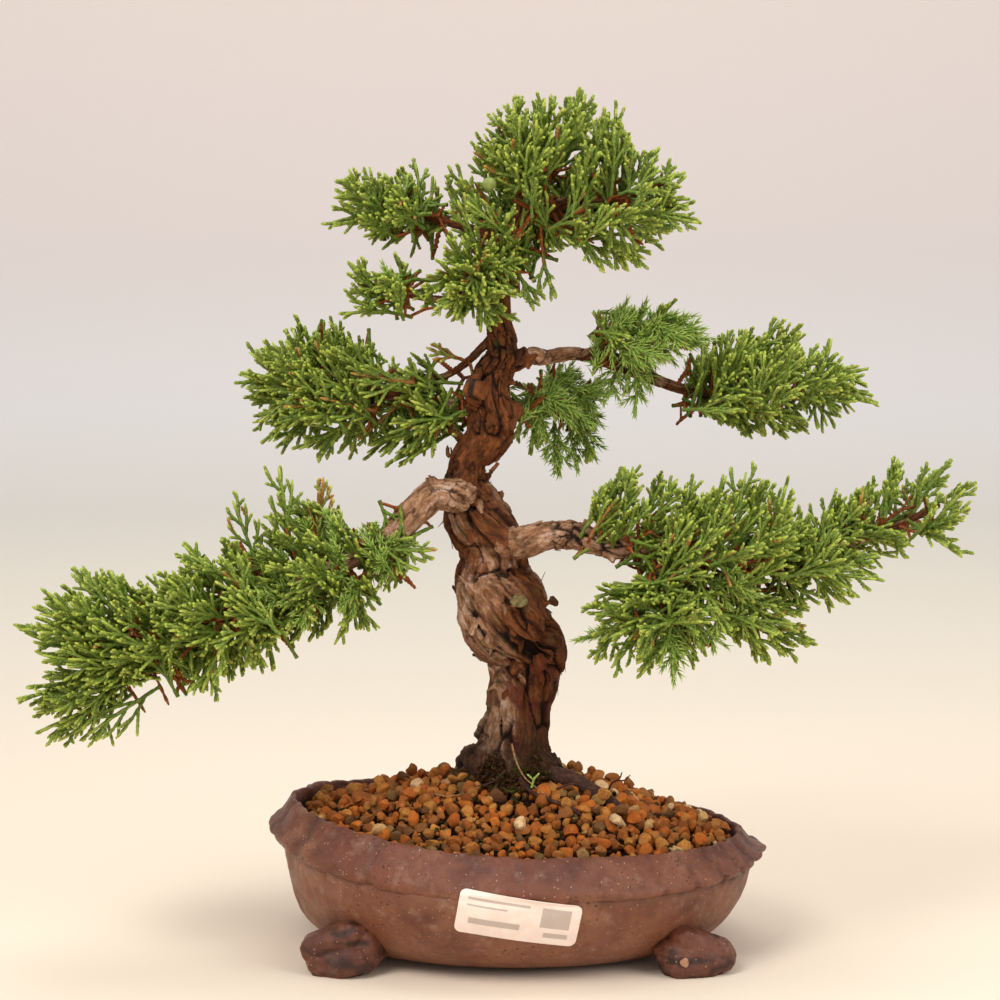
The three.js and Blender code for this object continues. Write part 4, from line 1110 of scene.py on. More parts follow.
def make_wood():
    """The trunk and its branches grown together in one skin of cracked and peeling bark. Gives the points
    where loose plates may sit, each with its normal, the way up its limb, its grain, radius and bleaching."""
    lines, lumps = [], []
    for name, stations in [("trunk", TRUNK), *BRANCHES.items()]:
        line, radii = limb_line(stations, 6 * len(stations))
        lines.append((line, radii))
        lumps.append(limb(name + "_core", line, radii, 16))
    for centre, radii in KNOTS:
        lumps.append(lump("knot", centre, radii))
    for start, end, thick, thin in STUBS:
        lumps.append(limb("stub", np.array([start, end], dtype=float), [thick, thin], 12))
    wood = join(lumps, "trunk_and_branches")
    fuse(wood, 0.55, 3)
    points, normals = points_of(wood), normals_of(wood)
    along, owner, radius, forward = straighten(points, lines)
    z = points[:, 2]
    on_branch = (owner > 0).astype(float)
    stout = np.clip(radius / 11, 0.25, 1.0)
    upper = ease(163, 185, z) * (1 - on_branch)

    # the grain wanders, and swirls round the knots
    swirl = np.column_stack([swell(along, 20, 51) * 3.5, swell(along, 20, 52) * 3.5,
                             swell(along, 26, 53) * 6])
    grain_at = along + swirl * stout[:, None]
    width = (8.5 * np.clip(radius / 12, 0.5, 1.1))[:, None]
    slender = np.column_stack([np.ones(len(z)), np.ones(len(z)), 0.34 + 0.4 * on_branch - 0.1 * upper])
    gap, plate, local = plates(grain_at / width * slender, 3)
    shown = ease(-0.35, 0.3, swell(grain_at, 13, 54) - 0.12 * on_branch)
    crack = ease(0.11, 0.03, gap) * shown
    small_gap, small_plate, _ = plates(grain_at / (0.5 * width) * slender, 8)
    small_crack = ease(0.07, 0.02, small_gap) * ease(0.1, 0.45, swell(grain_at, 9, 57))
    furrow = np.abs(swell(grain_at * [1, 1, 0.12], 3.2, 55))
    furrowed = swell(grain_at * [1, 1, 0.4], 11, 56) + 0.45 * upper - 0.5 * on_branch
    furrow = ease(0.14, 0.03, furrow) * ease(-0.2, 0.3, furrowed)
    shingle = -local[:, 2] * shown * ease(0.0, 0.25, gap)
    fibres = rough(grain_at * [1, 1, 0.13], 1.5, 71)
    bulge = rough(along * [1, 1, 0.55], 10, 81)
    height = (1.5 * (plate - 0.5) + 1.3 * shingle + 0.35 * (small_plate - 0.5) - 1.6 * crack
              - 0.7 * small_crack - 1.3 * furrow + 0.34 * fibres + 1.3 * bulge) * stout * 1.2
    height += 0.7 * rough(points, 2.4, 93) * ease(90, 74, z)
    fine_twig = ease(3.2, 1.6, radius)
    height = height * (1 - 0.6 * fine_twig) + 0.3 * fine_twig * rough(points, 1.6, 94)
    lifted = points + normals * height[:, None]
    move_points(wood, lifted)
    mark_vector(wood, "along", grain_at * MM)
    mark(wood, "plate", plate)
    open_cracks = np.clip(1.1 * crack + 0.85 * furrow + 0.7 * small_crack, 0, 0.97)
    mark(wood, "crack", open_cracks * (1 - 0.5 * fine_twig))
    # branches bleach once they stand clear of the trunk, and so do the trunk's left side and its foot
    trunk = np.array(TRUNK, dtype=float)
    axis = [np.interp(z, trunk[:, 2], trunk[:, column]) for column in (0, 1, 3)]
    clear = np.hypot(points[:, 0] - axis[0], points[:, 1] - axis[1]) - axis[2]
    bleach = np.where(radius > 2.5, 0.54, 0.0) * on_branch * ease(-3, 8, clear) - 0.04
    bleach -= 0.34 * ease(166, 180, z) * (1 - on_branch)
    left_side = 0.3 * ease(-4, -15, points[:, 0]) * ease(146, 130, z)
    foot = 0.36 * ease(124, 108, z) * ease(5, -6, points[:, 0])
    bleach += (1 - on_branch) * (0.02 * ease(26, 4, np.abs(z - 132)) + left_side + foot)
    mark(wood, "bleach", bleach)
    settle(wood, BARK, ["trunk", *BRANCHES])
    loose = np.flatnonzero((radius > 4) & (z > 84) & (z < 214))
    chosen = np.random.default_rng(5).choice(loose, 1500, replace=False)
    from_cuts = np.linalg.norm(points[chosen][:, None] - np.array([PRUNED_END, SCARRED_END]), axis=2)
    chosen = chosen[(from_cuts > CLEAR_OF_CUTS).all(axis=1)]
    chosen = chosen[spread_out(points[chosen], LOOSE_PLATES)]
    return [values[chosen] for values in (lifted, normals, forward, grain_at, radius, bleach)]


def make_loose_bark(roots, normals, forward, grain_at, radius, bleach):
    """Thin plates of bark that have let go at one end, with ragged edges and a curl."""
    deselect()
    bpy.ops.mesh.primitive_grid_add(x_subdivisions=4, y_subdivisions=6, size=2)
    plate = bpy.context.object
    thicken = plate.modifiers.new("thickness", "SOLIDIFY")
    thicken.thickness = 0.3
    bpy.ops.object.modifier_apply(modifier=thicken.name)
    bpy.ops.object.mode_set(mode="EDIT")
    bpy.ops.mesh.select_all(action="SELECT")
    bpy.ops.mesh.quads_convert_to_tris()
    bpy.ops.object.mode_set(mode="OBJECT")
    shape, faces = shape_of(plate)
    rng = np.random.default_rng(33)
    across, up, thick = shape.T
    all_points, grains, tones = [], [], []
    for i, root in enumerate(roots):
        stout = min(1, radius[i] / 8)
        length, width = rng.uniform(3, 7.5) * stout, rng.uniform(1.8, 4.4) * stout
        turned = unit(forward[i] + rng.normal(0, 0.3, 3))
        side = unit(np.cross(turned, normals[i]))
        hand = rng.choice([-1, 1])
        ragged = 0.5 * swell(shape * 3 + 40 * i, 1.1, i)
        wide = width / 2 * (across * (1 - 0.62 * up**2 + ragged) + 0.35 * ragged)
        far = length / 2 * (up * hand + 0.35 * ragged * np.abs(up))
        lift = rng.uniform(0.02, 0.13) * length * ((up + 1) / 2) ** 2
        out = 0.15 + lift - 0.4 * wide**2 / radius[i] + 0.35 * thick * (1 - 0.5 * np.abs(across))
        all_points.append(root + np.outer(wide, side) + np.outer(far, turned) + np.outer(out, normals[i]))
        grains.append(grain_at[i] + np.column_stack([wide, out, far]))
        tone = bleach[i] + rng.uniform(-0.14, 0.14) - 0.25 * (root[2] < 108)
        # the third number goes to the crack mark: painted shade on the plates' undersides and, a little,
        # along their side edges
        tones.append(np.column_stack([np.full(len(shape), rng.uniform()), np.full(len(shape), tone),
                                      np.where(thick < 0, 0.5, 0.25 * np.abs(across) ** 3)]))
    faces = np.vstack([faces + i * len(shape) for i in range(len(roots))])
    plates_piece = from_arrays("loose_bark", np.vstack(all_points), faces)
    mark_vector(plates_piece, "along", np.vstack(grains) * MM)
    for name, values in zip(("plate", "bleach", "crack"), np.vstack(tones).T):
        mark(plates_piece, name, values)
    settle(plates_piece, BARK, (), 50)


make_loose_bark(*make_wood())


def make_cut(name, centre, radii, tilt, turn, surface):
    """The end of a pruned stub, slightly sunk into its collar."""
    face = lump(name, (0, 0, 0), radii, 3)
    points = points_of(face)
    points[:, 2] += 0.25 * swell(points, 2, 4)
    points = points @ np.array(Matrix.Rotation(tilt, 3, "X")).T @ np.array(Matrix.Rotation(turn, 3, "Z")).T
    move_points(face, points + centre)
    settle(face, surface)


make_cut("pruned_face", PRUNED_END, (3.2, 2.4, 0.9), 1.0, 0.0, CUT_WOOD)
make_cut("old_scar", SCARRED_END, (2.4, 3.6, 0.8), 1.35, -0.35, OLD_SCAR)


# ------------------------------------------------------------------------------------------ Roots and moss
ROOTS = {
    "root_right": [
        (-3, -1, 63, 6), (8, -6, 65, 5), (20, -10, 62.5, 3.8), (31, -14, 57.5, 3), (39, -17, 52, 2.2),
        (44, -19, 47, 1.6),
    ],
    "root_front": [
        (-2, -5, 66, 3), (0, -15, 65.5, 1.4), (6, -24, 61, 0.9), (16, -29, 58.5, 0.8),
        (24, -33, 54.5, 0.7), (30, -36, 49, 0.5),
    ],
    "root_left": [(-6, -1, 65, 6), (-17, -5, 64.5, 4.0), (-26, -8, 59, 2.6), (-33, -10, 52, 1.6)],
}


def make_roots():
    for name, stations in ROOTS.items():
        line, radii = limb_line(stations, 40)
        line += 0.5 * np.column_stack([swell(line, 7, 5), swell(line, 7, 6), swell(line, 7, 7)])
        line[:, 2] -= 0.8
        root = limb(name + "_skin", line, 0.86 * radii, 16)
        raise_skin(root, 0.6 * rough(points_of(root), 3, 15))
        settle(root, ROOT_BARK, [name])


make_roots()

# Dry sticks, rootlets and a stray sprig on the mound: points, thickness and material.
STICKS = [
    ([(46, -14, 49.5), (50, -15, 51), (55, -15.5, 50.5)], 0.55, ROOT_BARK),
    ([(33, -8, 58), (34.5, -8.5, 61), (37, -9, 62.5), (38, -9, 65)], 0.4, ROOT_BARK),
    ([(36, -9, 62), (39, -9.5, 62.2), (41, -9, 64)], 0.3, ROOT_BARK),
    ([(-2, -16.5, 77), (-0.6, -18.5, 71.5), (2.2, -20.5, 66), (6, -23.5, 63), (10, -27, 60.5)], 0.33,
     DRY_ROOTLET),
    ([(-4, -19, 68), (-9, -21, 64), (-15, -22, 62.5)], 0.3, ROOT_BARK),
    ([(-30, -16, 58.5), (-25, -20, 58.5), (-19, -22, 60)], 0.3, DRY_ROOTLET),
    ([(-49, -18, 54), (-43, -20, 54.5), (-38, -23, 54)], 0.35, ROOT_BARK),
    ([(14, -24, 62), (20, -22, 63.5), (27, -21, 61)], 0.35, ROOT_BARK),
]


def make_sticks():
    for number, (stations, thickness, surface) in enumerate(STICKS):
        line, share = smooth_line(stations, 14)
        stick = limb("stick_%d" % number, line, thickness * (1.2 - 0.6 * share), 8)
        settle(stick, surface)
    sprig = Sheaf()
    sprig.shoot((5, -26, 63.0), (0.25, -0.2, 1), 4.2, 0.5, (0, 0, 0), 0.2)
    sprig.shoot((5.9, -26.6, 66.2), (0.8, -0.2, 1), 2.9, 0.45, (0, 0, 0), 0.4)
    sprig.shoot((5.7, -26.5, 65.8), (-0.9, -0.2, 0.9), 3.2, 0.45, (0, 0, 0), 0.7)
    sprig.build("fallen_sprig", [(0.0, SHORT_CORD)], NEEDLE_LEAVES, "needle_foliage")


def make_moss_bank():
    """Crumbly moss and algae clinging round the trunk's foot."""
    x, y, radius = TRUNK_FOOT
    lumps = [lump("bank", (x, y, 60.5), (radius + 2.6, radius + 1.2, 6.5), 5),
             lump("bank", (x - 11, y - 5, 61), (11, 9, 5.0), 4),
             lump("bank", (x + 10, y - 4, 61), (10, 9, 5.5), 4)]
    bank = join(lumps, "moss_and_crumbs")
    fuse(bank, 0.7, 1)
    points = points_of(bank)
    raise_skin(bank, 1.5 * rough(points, 5, 25) + 1.0 * rough(points, 1.8, 26))
    settle(bank, MOSS, ["moss_bank"])
    rng = np.random.default_rng(12)
    count = 3000
    angle = rng.uniform(0, 2 * math.pi, count)
    up = rng.uniform(0, 1, count) ** 1.7
    reach = radius * (1.06 - 0.2 * up) + 4.5 * (1 - up) * rng.uniform(0, 1.4, count)
    climb = 12 + 9 * swell(np.column_stack([12 * np.cos(angle), 12 * np.sin(angle), 0 * angle]), 6, 88)
    spots = np.column_stack([x + np.cos(angle) * reach, y + np.sin(angle) * reach * 0.96, 60.5 + climb * up])
    radii = rng.uniform(0.3, 1.0, count) * (1 - 0.4 * up)
    heap("moss_crumbs", GRAIN_SHAPES, spots, radii, rng, MOSS)


make_moss_bank()


# ------------------------------------------------------------------------------------------ Foliage
CORD_SIDES = 4


def cord_shape(rings):
    """A unit shoot along +Z, modelled once: scale leaves in pairs make it swell and pinch up to a blunt tip.
    Gives its points, its faces and each corner's place on the map."""
    deselect()
    bpy.ops.mesh.primitive_circle_add(vertices=CORD_SIDES, radius=1, fill_type="NOTHING")
    cord = bpy.context.object
    bpy.ops.object.mode_set(mode="EDIT")
    bpy.ops.mesh.select_all(action="SELECT")
    size = 1.0
    for ring in range(1, rings + 1):
        share = ring / rings
        swelling = 1.1 if ring % 2 else 0.9
        wanted = swelling * (1 - 0.1 * share) if ring < rings else 0.45
        bpy.ops.mesh.extrude_region_move(TRANSFORM_OT_translate={"value": (0, 0, 1 / rings)})
        bpy.ops.transform.resize(value=(wanted / size, wanted / size, 1))
        bpy.ops.transform.rotate(value=math.pi / CORD_SIDES, orient_axis="Z", center_override=(0, 0, share))
        size = wanted
    bpy.ops.mesh.edge_face_add()
    bpy.ops.mesh.select_all(action="SELECT")
    bpy.ops.mesh.normals_make_consistent(inside=False)
    bpy.ops.mesh.quads_convert_to_tris()
    bpy.ops.object.mode_set(mode="OBJECT")
    points, faces = shape_of(cord)
    corners = points[faces]
    around = np.arctan2(corners[..., 1], corners[..., 0]) / (2 * math.pi) % 1.0
    around = np.where(around - around.mean(axis=1, keepdims=True) > 0.5, around - 1, around)
    around = np.where(around - around.mean(axis=1, keepdims=True) < -0.5, around + 1, around)
    return points, faces, np.stack([np.clip(around, 0, 1), corners[..., 2]], axis=-1)


def needle_shape():
    """One needle leaf along +Z, modelled once: a narrow keeled blade."""
    deselect()
    bpy.ops.mesh.primitive_cone_add(vertices=4, radius1=0.85, radius2=0.08, depth=1, location=(0, 0, 0.5))
    blade = bpy.context.object
    bpy.ops.object.transform_apply(location=True)
    bpy.ops.object.mode_set(mode="EDIT")
    bpy.ops.mesh.select_all(action="SELECT")
    bpy.ops.transform.resize(value=(1, 0.5, 1))
    bpy.ops.mesh.quads_convert_to_tris()
    bpy.ops.object.mode_set(mode="OBJECT")
    points, faces = shape_of(blade)
    corners = points[faces]
    spots = np.stack([np.clip(corners[..., 0] * 0.6 + 0.5, 0, 1), corners[..., 2]], axis=-1)
    return points, faces, spots


LONG_CORD = cord_shape(10)
SHORT_CORD = cord_shape(5)
# What each kind of sheaf is built of: the least length that each shape is for, longest first.
SCALE_SHAPES = [(5.0, LONG_CORD), (0.0, SHORT_CORD)]
NEEDLE_SHAPES = [(0.0, needle_shape())]
TWIG_SHAPES = [(0.0, LONG_CORD)]
TINTS = 64  # columns on the map

# The columns of a row that describes one shoot.
START, WAY, LENGTH, RADIUS, BEND, TINT = slice(0, 3), slice(3, 6), 6, 7, slice(8, 11), 11
GROWING = [0, 1, 2, 6, 8, 9, 10]  # those that change with a spray's size: start, length and bend


def frames_for(ways):
    """Two directions square to each of these."""
    helper = np.where(np.abs(ways[:, 2:]) < 0.9, [[0.0, 0.0, 1.0]], [[1.0, 0.0, 0.0]])
    side = unit(np.cross(ways, helper))
    return side, np.cross(ways, side)


class Sheaf:
    """Shoots gathered up, to be made into one mesh."""

    def __init__(self):
        self.rows = []

    def shoot(self, start, way, length, radius, bend, tint):
        self.rows.append((*start, *way, length, radius, *bend, tint))

    def bow(self, start, end, radius, sag, tint):
        """A shoot between two points that bows on the way."""
        way = end - start - sag
        self.shoot(start, way, max(np.linalg.norm(way), 0.5), radius, sag, tint)

    def extend(self, rows):
        self.rows.extend(map(tuple, rows))

    def build(self, name, shapes, surface, slot, nodes=()):
        """Makes a copy of the fitting shape for each shoot, drawn out, bent and put in its place."""
        rows = np.array(self.rows)
        all_points, all_faces, all_spots, start = [], [], [], 0
        most = np.inf
        for least, (points, faces, spots) in shapes:
            some = rows[(rows[:, LENGTH] >= least) & (rows[:, LENGTH] < most)]
            most = least
            if not len(some):
                continue
            ways = unit(some[:, WAY])
            side, other = frames_for(ways)
            radius = some[:, RADIUS][:, None, None]
            z = points[None, :, 2:]
            placed = (some[:, None, START] + ways[:, None] * z * some[:, LENGTH][:, None, None]
                      + side[:, None] * points[None, :, :1] * radius
                      + other[:, None] * points[None, :, 1:2] * radius + some[:, None, BEND] * z**2)
            all_points.append(placed.reshape(-1, 3))
            many = np.arange(len(some)) * len(points) + start
            all_faces.append((faces[None] + many[:, None, None]).reshape(-1, 3))
            start += len(some) * len(points)
            column = np.floor(np.clip(some[:, TINT], 0, 0.999) * TINTS)
            u = (column[:, None, None] + 0.15 + 0.7 * spots[None, :, :, 0]) / TINTS
            v = np.broadcast_to(0.02 + 0.96 * spots[None, :, :, 1], u.shape)
            all_spots.append(np.stack([u, v], axis=-1).reshape(-1, 2))
        piece = from_arrays(name, np.vstack(all_points), np.vstack(all_faces), np.vstack(all_spots))
        return settle(piece, surface, nodes)


FRESH, DEAD = 0.93, 0.97  # tints above these are new yellow growth and dead orange shoots


def shoot_tint(rng):
    chance = rng.uniform()
    if chance < 0.012:
        return rng.uniform(DEAD, 1)
    return rng.uniform(FRESH, DEAD) if chance < 0.05 else rng.uniform(0, FRESH)


def scale_spray(rng, size):
    """A spray of scale-leaf shoots growing along +Z and fanning out along X, as rows. Side shoots leave at
    a narrow angle and reach nearly as far as the leader."""
    rows = []
    length = size * rng.uniform(0.92, 1.08)
    lean = np.array([rng.normal(0, 0.05), rng.normal(0, 0.08), 1.0])
    bend = np.array([rng.normal(0, 1.4), rng.normal(0, 2.0), 0.0])
    rows.append((0, 0, 0, *lean, length, 0.78, *bend, shoot_tint(rng)))
    along = rng.uniform(0.12, 0.24)
    side = rng.choice([-1, 1])
    while along < 0.85:
        start = unit(lean) * length * along + bend * along**2
        angle = rng.normal(0.48, 0.1)
        out = np.array([side * math.sin(angle), rng.normal(0, 0.25), math.cos(angle)])
        reach = length * 0.66 * (1 - 0.72 * along) * rng.uniform(0.7, 1.2)
        side_bend = np.array([-side * reach * 0.13, rng.normal(0, 0.5), reach * 0.05])
        rows.append((*start, *out, reach, 0.74, *side_bend, shoot_tint(rng)))
        small = rng.uniform(0.28, 0.42)
        hand = side
        while small < 0.75 and reach > 6:
            begin = start + unit(out) * reach * small + side_bend * small**2
            turn = hand * rng.normal(0.46, 0.09)
            way = np.array([out[0] * math.cos(turn) + out[2] * math.sin(turn), out[1] + rng.normal(0, 0.2),
                            out[2] * math.cos(turn) - out[0] * math.sin(turn)])
            tip = max(3.0, reach * 0.55 * (1 - 0.5 * small) * rng.uniform(0.8, 1.25))
            rows.append((*begin, *way, tip, 0.7, 0, 0, 0, shoot_tint(rng)))
            hand = -hand
            small += rng.uniform(0.22, 0.34)
        side = -side
        along += rng.uniform(0.11, 0.16)
    return np.array(rows)


def needle_spray(rng, size):
    """A shoot of young needle leaves in whorls of three, with side shoots like it."""
    rows = []

    def bottle(start, way, length):
        way = unit(way)
        side, other = (v[0] for v in frames_for(way[None]))
        rows.append((*start, *way, length, 0.4, 0, 0, 0, rng.uniform(0, 0.9)))
        along = 0.05
        phase = rng.uniform(0, 6)
        while along < 1:
            for third in range(3):
                turn = phase + third * 2.094 + rng.normal(0, 0.15)
                out = math.cos(turn) * side + math.sin(turn) * other
                open_up = 0.66 - 0.3 * along + rng.normal(0, 0.08)
                leaf = (4.3 - 1.3 * along) * rng.uniform(0.85, 1.15)
                begin = np.asarray(start) + way * length * along
                rows.append((*begin, *(way * math.cos(open_up) + out * math.sin(open_up)), leaf, 0.9,
                             *(way * leaf * 0.1), rng.uniform(0, 0.97)))
            phase += 1.05
            along += 2.0 / length

    bottle((0, 0, 0), np.array([rng.normal(0, 0.06), rng.normal(0, 0.06), 1.0]), size)
    side = 1
    for along in (0.16, 0.3, 0.44, 0.58, 0.7):
        out = np.array([side * 0.62, rng.normal(0, 0.25), 0.78])
        bottle((0, 0, size * along), out, size * 0.5 * (1.15 - along))
        side = -side
    return np.array(rows)


def turned_rows(rows, spin, spot):
    """A spray turned and put in its place."""
    placed = rows.copy()
    for part in (START, WAY, BEND):
        placed[:, part] = rows[:, part] @ spin.T
    placed[:, START] += spot
    return placed


def pad_area(node):
    """A pad of the frame as triangles in mm round the pot, each one's facing and area."""
    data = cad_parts[node].data
    data.calc_loop_triangles()
    corners = [[data.vertices[i].co[:] for i in triangle.vertices] for triangle in data.loop_triangles]
    corners = np.array(corners) / MM - POT_CENTRE
    facing = np.cross(corners[:, 1] - corners[:, 0], corners[:, 2] - corners[:, 0])
    return corners, unit(facing), np.linalg.norm(facing, axis=1) / 2


def orient(way, roll_towards, roll):
    """A rotation that takes +Z to way, and X as near as it can to a given direction, then rolls it."""
    z = unit(way)
    x = roll_towards - z * (roll_towards @ z)
    x = unit(x if np.linalg.norm(x) > 0.1 else np.array([z[2], 0.0, -z[0]]))
    y = np.cross(z, x)
    x, y = x * math.cos(roll) + y * math.sin(roll), y * math.cos(roll) - x * math.sin(roll)
    return np.column_stack([x, y, z])


class Limbs:
    """Where foliage can start: points along the branches that carry a pad."""

    def __init__(self, names):
        carrying = BRANCHES | {"trunk": TRUNK[-5:]}
        stations = [np.array(carrying[name], dtype=float) for name in names]
        self.points = np.vstack([smooth_line(s[1:, :3], 60)[0] for s in stations])
        self.growth = unit(stations[0][-1, :3] - stations[0][len(stations[0]) // 2, :3])

    def nearest(self, spot):
        gap = np.linalg.norm(self.points - spot, axis=1)
        return self.points[int(np.argmin(gap + 0.35 * np.maximum(0, self.points[:, 2] - spot[2])))]


# Each pad of the frame: the limbs that carry it, the area each spray covers in square mm, the sprays'
# length, and the share of them that is young needle foliage.
PADS = {
    "pad_lower_left_inner": (["branch_lower_left"], 84, 23, 0.15),
    "pad_lower_left_middle": (["branch_lower_left"], 84, 26, 0.0),
    "pad_lower_left_outer": (["branch_lower_left"], 84, 27, 0.0),
    "pad_lower_right_inner": (["branch_lower_right"], 90, 20, 0.1),
    "pad_lower_right_low": (["branch_lower_right_drop"], 95, 24, 0.1),
    "pad_lower_right_middle": (["branch_lower_right"], 84, 26, 0.05),
    "pad_lower_right_outer": (["branch_lower_right"], 100, 24, 0.0),
    "pad_lower_right_tip": (["branch_lower_right"], 120, 24, 0.0),
    "pad_middle_left": (["branch_middle_left", "twig_middle_left"], 80, 26, 0.0),
    "pad_middle_right_inner": (["twig_middle_right"], 95, 20, 0.75),
    "pad_middle_right_outer": (["branch_middle_right"], 82, 25, 0.03),
    "pad_small_right": (["branch_small_right"], 95, 21, 0.8),
    "pad_upper_left": (["branch_upper_left"], 92, 20, 0.1),
    "pad_crown_front": (["branch_crown_front"], 76, 20, 0.0),
    "pad_crown_left": (["branch_crown_left"], 90, 24, 0.0),
    "pad_crown_right": (["branch_crown_right"], 84, 24, 0.0),
    "pad_crown_top": (["trunk", "branch_crown_right"], 82, 25, 0.0),
    "pad_crown_back": (["branch_crown_back"], 90, 22, 0.0),
}
UP = np.array([0.0, 0.0, 1.0])
SPRAYS_TO_A_TWIG = 5
# Sprays turn along their branch and upwards rather than out to its sides.
SIDEWAYS = np.array([1.0, 0.5, 1.0])
THIN_BELOW = 0.3  # share of the sprays that shade has killed on the underside
BARE = 0.06  # share of the shoots that are bare twigs
# Places (x, z and radius) where the foliage in front is thin and the branch behind shows.
WINDOWS = [
    (-26, 263, 6), (-12, 259, 5), (5, 263, 5), (19, 269, 6), (33, 272, 6), (-97, 128, 5), (-60, 144, 5),
    (70, 145, 5), (120, 151, 5), (133, 154, 5), (146, 159, 4), (66, 202, 5), (-40, 199, 5), (-36, 237, 5),
]


def seen_past(starts, tips):
    """Which sprays would hide a window."""
    hidden = np.zeros(len(starts), dtype=bool)
    for share in (0.3, 0.6, 0.9):
        spots = starts + (tips - starts) * share
        for x, z, radius in WINDOWS:
            hidden |= np.hypot(spots[:, 0] - x, spots[:, 2] - z) < radius
    return hidden & (tips[:, 1] < starts[:, 1] + 4)


def make_pad(node, limbs_named, cover, size, young):
    """Sprays whose tips reach the pad's surface, on stems and twigs that lead back to its branch."""
    rng = np.random.default_rng(sum(map(ord, node)))
    variants = [scale_spray(rng, size) for _ in range(10)]
    needles = [needle_spray(rng, size * 0.9) for _ in range(5)]
    limbs = Limbs(limbs_named)
    corners, facing, area = pad_area(node)
    count = max(8, int(area.sum() / cover))
    chosen = rng.choice(len(corners), count * 12, p=area / area.sum())
    cloud = np.einsum("ij,ijk->ik", rng.dirichlet([1, 1, 1], len(chosen)), corners[chosen])
    kept = spread_out(cloud, count)
    tips, ways = cloud[kept], facing[chosen][kept]
    leaves, young_leaves, twigs = Sheaf(), Sheaf(), Sheaf()
    homes = np.array([limbs.nearest(tip) for tip in tips])
    outward = unit(tips - homes) * SIDEWAYS
    rise = -0.3 if young > 0.5 else 0.2
    aims = 0.62 * outward + 0.3 * ways * SIDEWAYS + 0.46 * limbs.growth + rise * UP
    aims = unit(aims + rng.normal(0, 0.15, (count, 3)))
    reaches = size * rng.uniform(0.7, 1.12, count)
    reaches = np.where(rng.uniform(size=count) < 0.14, reaches * 1.2, reaches)
    starts = tips - aims * (reaches * 0.98 - rng.uniform(-3.5, 4.0, count))[:, None]
    middles = starts[spread_out(starts, max(2, count // SPRAYS_TO_A_TWIG))]
    member = np.argmin(np.linalg.norm(starts[:, None] - middles[None], axis=2), axis=1)
    shaded = (ways[:, 2] < -0.25) & (rng.uniform(size=count) < THIN_BELOW)
    shaded |= seen_past(starts, tips) & (rng.uniform(size=count) < 0.8)
    bare = rng.uniform(size=count) < BARE
    for group in range(len(middles)):
        own = np.flatnonzero((member == group) & ~shaded)
        if not len(own):
            continue
        middle = starts[own].mean(axis=0)
        home = limbs.nearest(middle)
        fork = middle * 0.72 + home * 0.28
        distance = max(np.linalg.norm(fork - home), 1.0)
        twigs.bow(home, fork, 1.05, distance * (0.12 * UP + rng.normal(0, 0.12, 3)), rng.uniform())
        for i in own:
            stem_end = starts[i] + aims[i]
            distance = max(np.linalg.norm(stem_end - fork), 1.0)
            twigs.bow(fork, stem_end, 0.7, distance * (0.08 * UP + rng.normal(0, 0.13, 3)), rng.uniform())
            if bare[i]:
                twigs.shoot(starts[i], aims[i], reaches[i] * 0.5, 0.6, rng.normal(0, 1.5, 3), rng.uniform())
                aside = aims[i] + rng.normal(0, 0.5, 3)
                twigs.shoot(starts[i] + aims[i] * 4, aside, reaches[i] * 0.25, 0.5, (0, 0, 0), 0.5)
                continue
            spin = orient(aims[i], np.cross(aims[i], ways[i] + 0.3 * rng.normal(size=3)), rng.normal(0, 0.45))
            if rng.uniform() < young:
                young_leaves.extend(turned_rows(needles[rng.integers(len(needles))], spin, starts[i]))
                continue
            rows = variants[rng.integers(len(variants))].copy()
            rows[:, GROWING] *= reaches[i] / size
            tints = rows[:, TINT]
            rows[:, TINT] = np.where(tints < FRESH, tints * 0.5 + rng.uniform(0, 0.5 * FRESH), tints)
            leaves.extend(turned_rows(rows, spin, starts[i]))
    short = node.replace("pad_", "")
    if leaves.rows:
        leaves.build("sprays_" + short, SCALE_SHAPES, SCALE_LEAVES, "scale_foliage", [node])
    if young_leaves.rows:
        young_leaves.build("needles_" + short, NEEDLE_SHAPES, NEEDLE_LEAVES, "needle_foliage", [node])
    twigs.build("twigs_" + short, TWIG_SHAPES, TWIG_BARK, "bark")


for pad, settings in PADS.items():
    make_pad(pad, *settings)


# Single shoots that stand out of the pads: where each leaves its twig, where it ends, the limb, and its kind.
LEADERS = [
    ((-136, -31, 98), (-163, -32, 80), "branch_lower_left", "scale"),
    ((-126, -34, 101), (-150, -36, 84), "branch_lower_left", "scale"),
    ((-80, -26, 150), (-87, -28, 176), "branch_lower_left", "scale"),
    ((-71, -22, 152), (-69, -23, 175), "branch_lower_left", "dry"),
    ((-92, -26, 142), (-101, -27, 164), "branch_lower_left", "scale"),
    ((-55, -26, 150), (-32, -31, 145), "branch_lower_left", "scale"),
    ((-60, -25, 140), (-54, -30, 120), "branch_lower_left", "scale"),
    ((-20, 6, 214), (-33, 3, 217), "twig_middle_left", "dry"),
    ((-17, 5, 212), (-13, 2, 200), "twig_middle_left", "dry"),
    ((33, 14, 219), (31, 12, 231), "twig_middle_right", "scale"),
    ((9, -6, 252), (11, -8, 236), "branch_crown_right", "scale"),
    ((0, -8, 246), (9, -12, 233), "branch_crown_front", "scale"),
    ((50, -26, 128), (45, -30, 105), "branch_lower_right_drop", "scale"),
    ((54, -26, 128), (60, -30, 106), "branch_lower_right_drop", "scale"),
    ((29, -20, 152), (27, -24, 168), "branch_lower_right", "scale"),
    ((20, 30, 190), (24, 24, 172), "branch_small_right", "needle"),
    ((14, 24, 190), (13, 18, 174), "branch_small_right", "needle"),
    ((45, 20, 214), (42, 14, 194), "branch_middle_right", "needle"),
    ((38, 18, 214), (33, 13, 197), "branch_middle_right", "needle"),
]


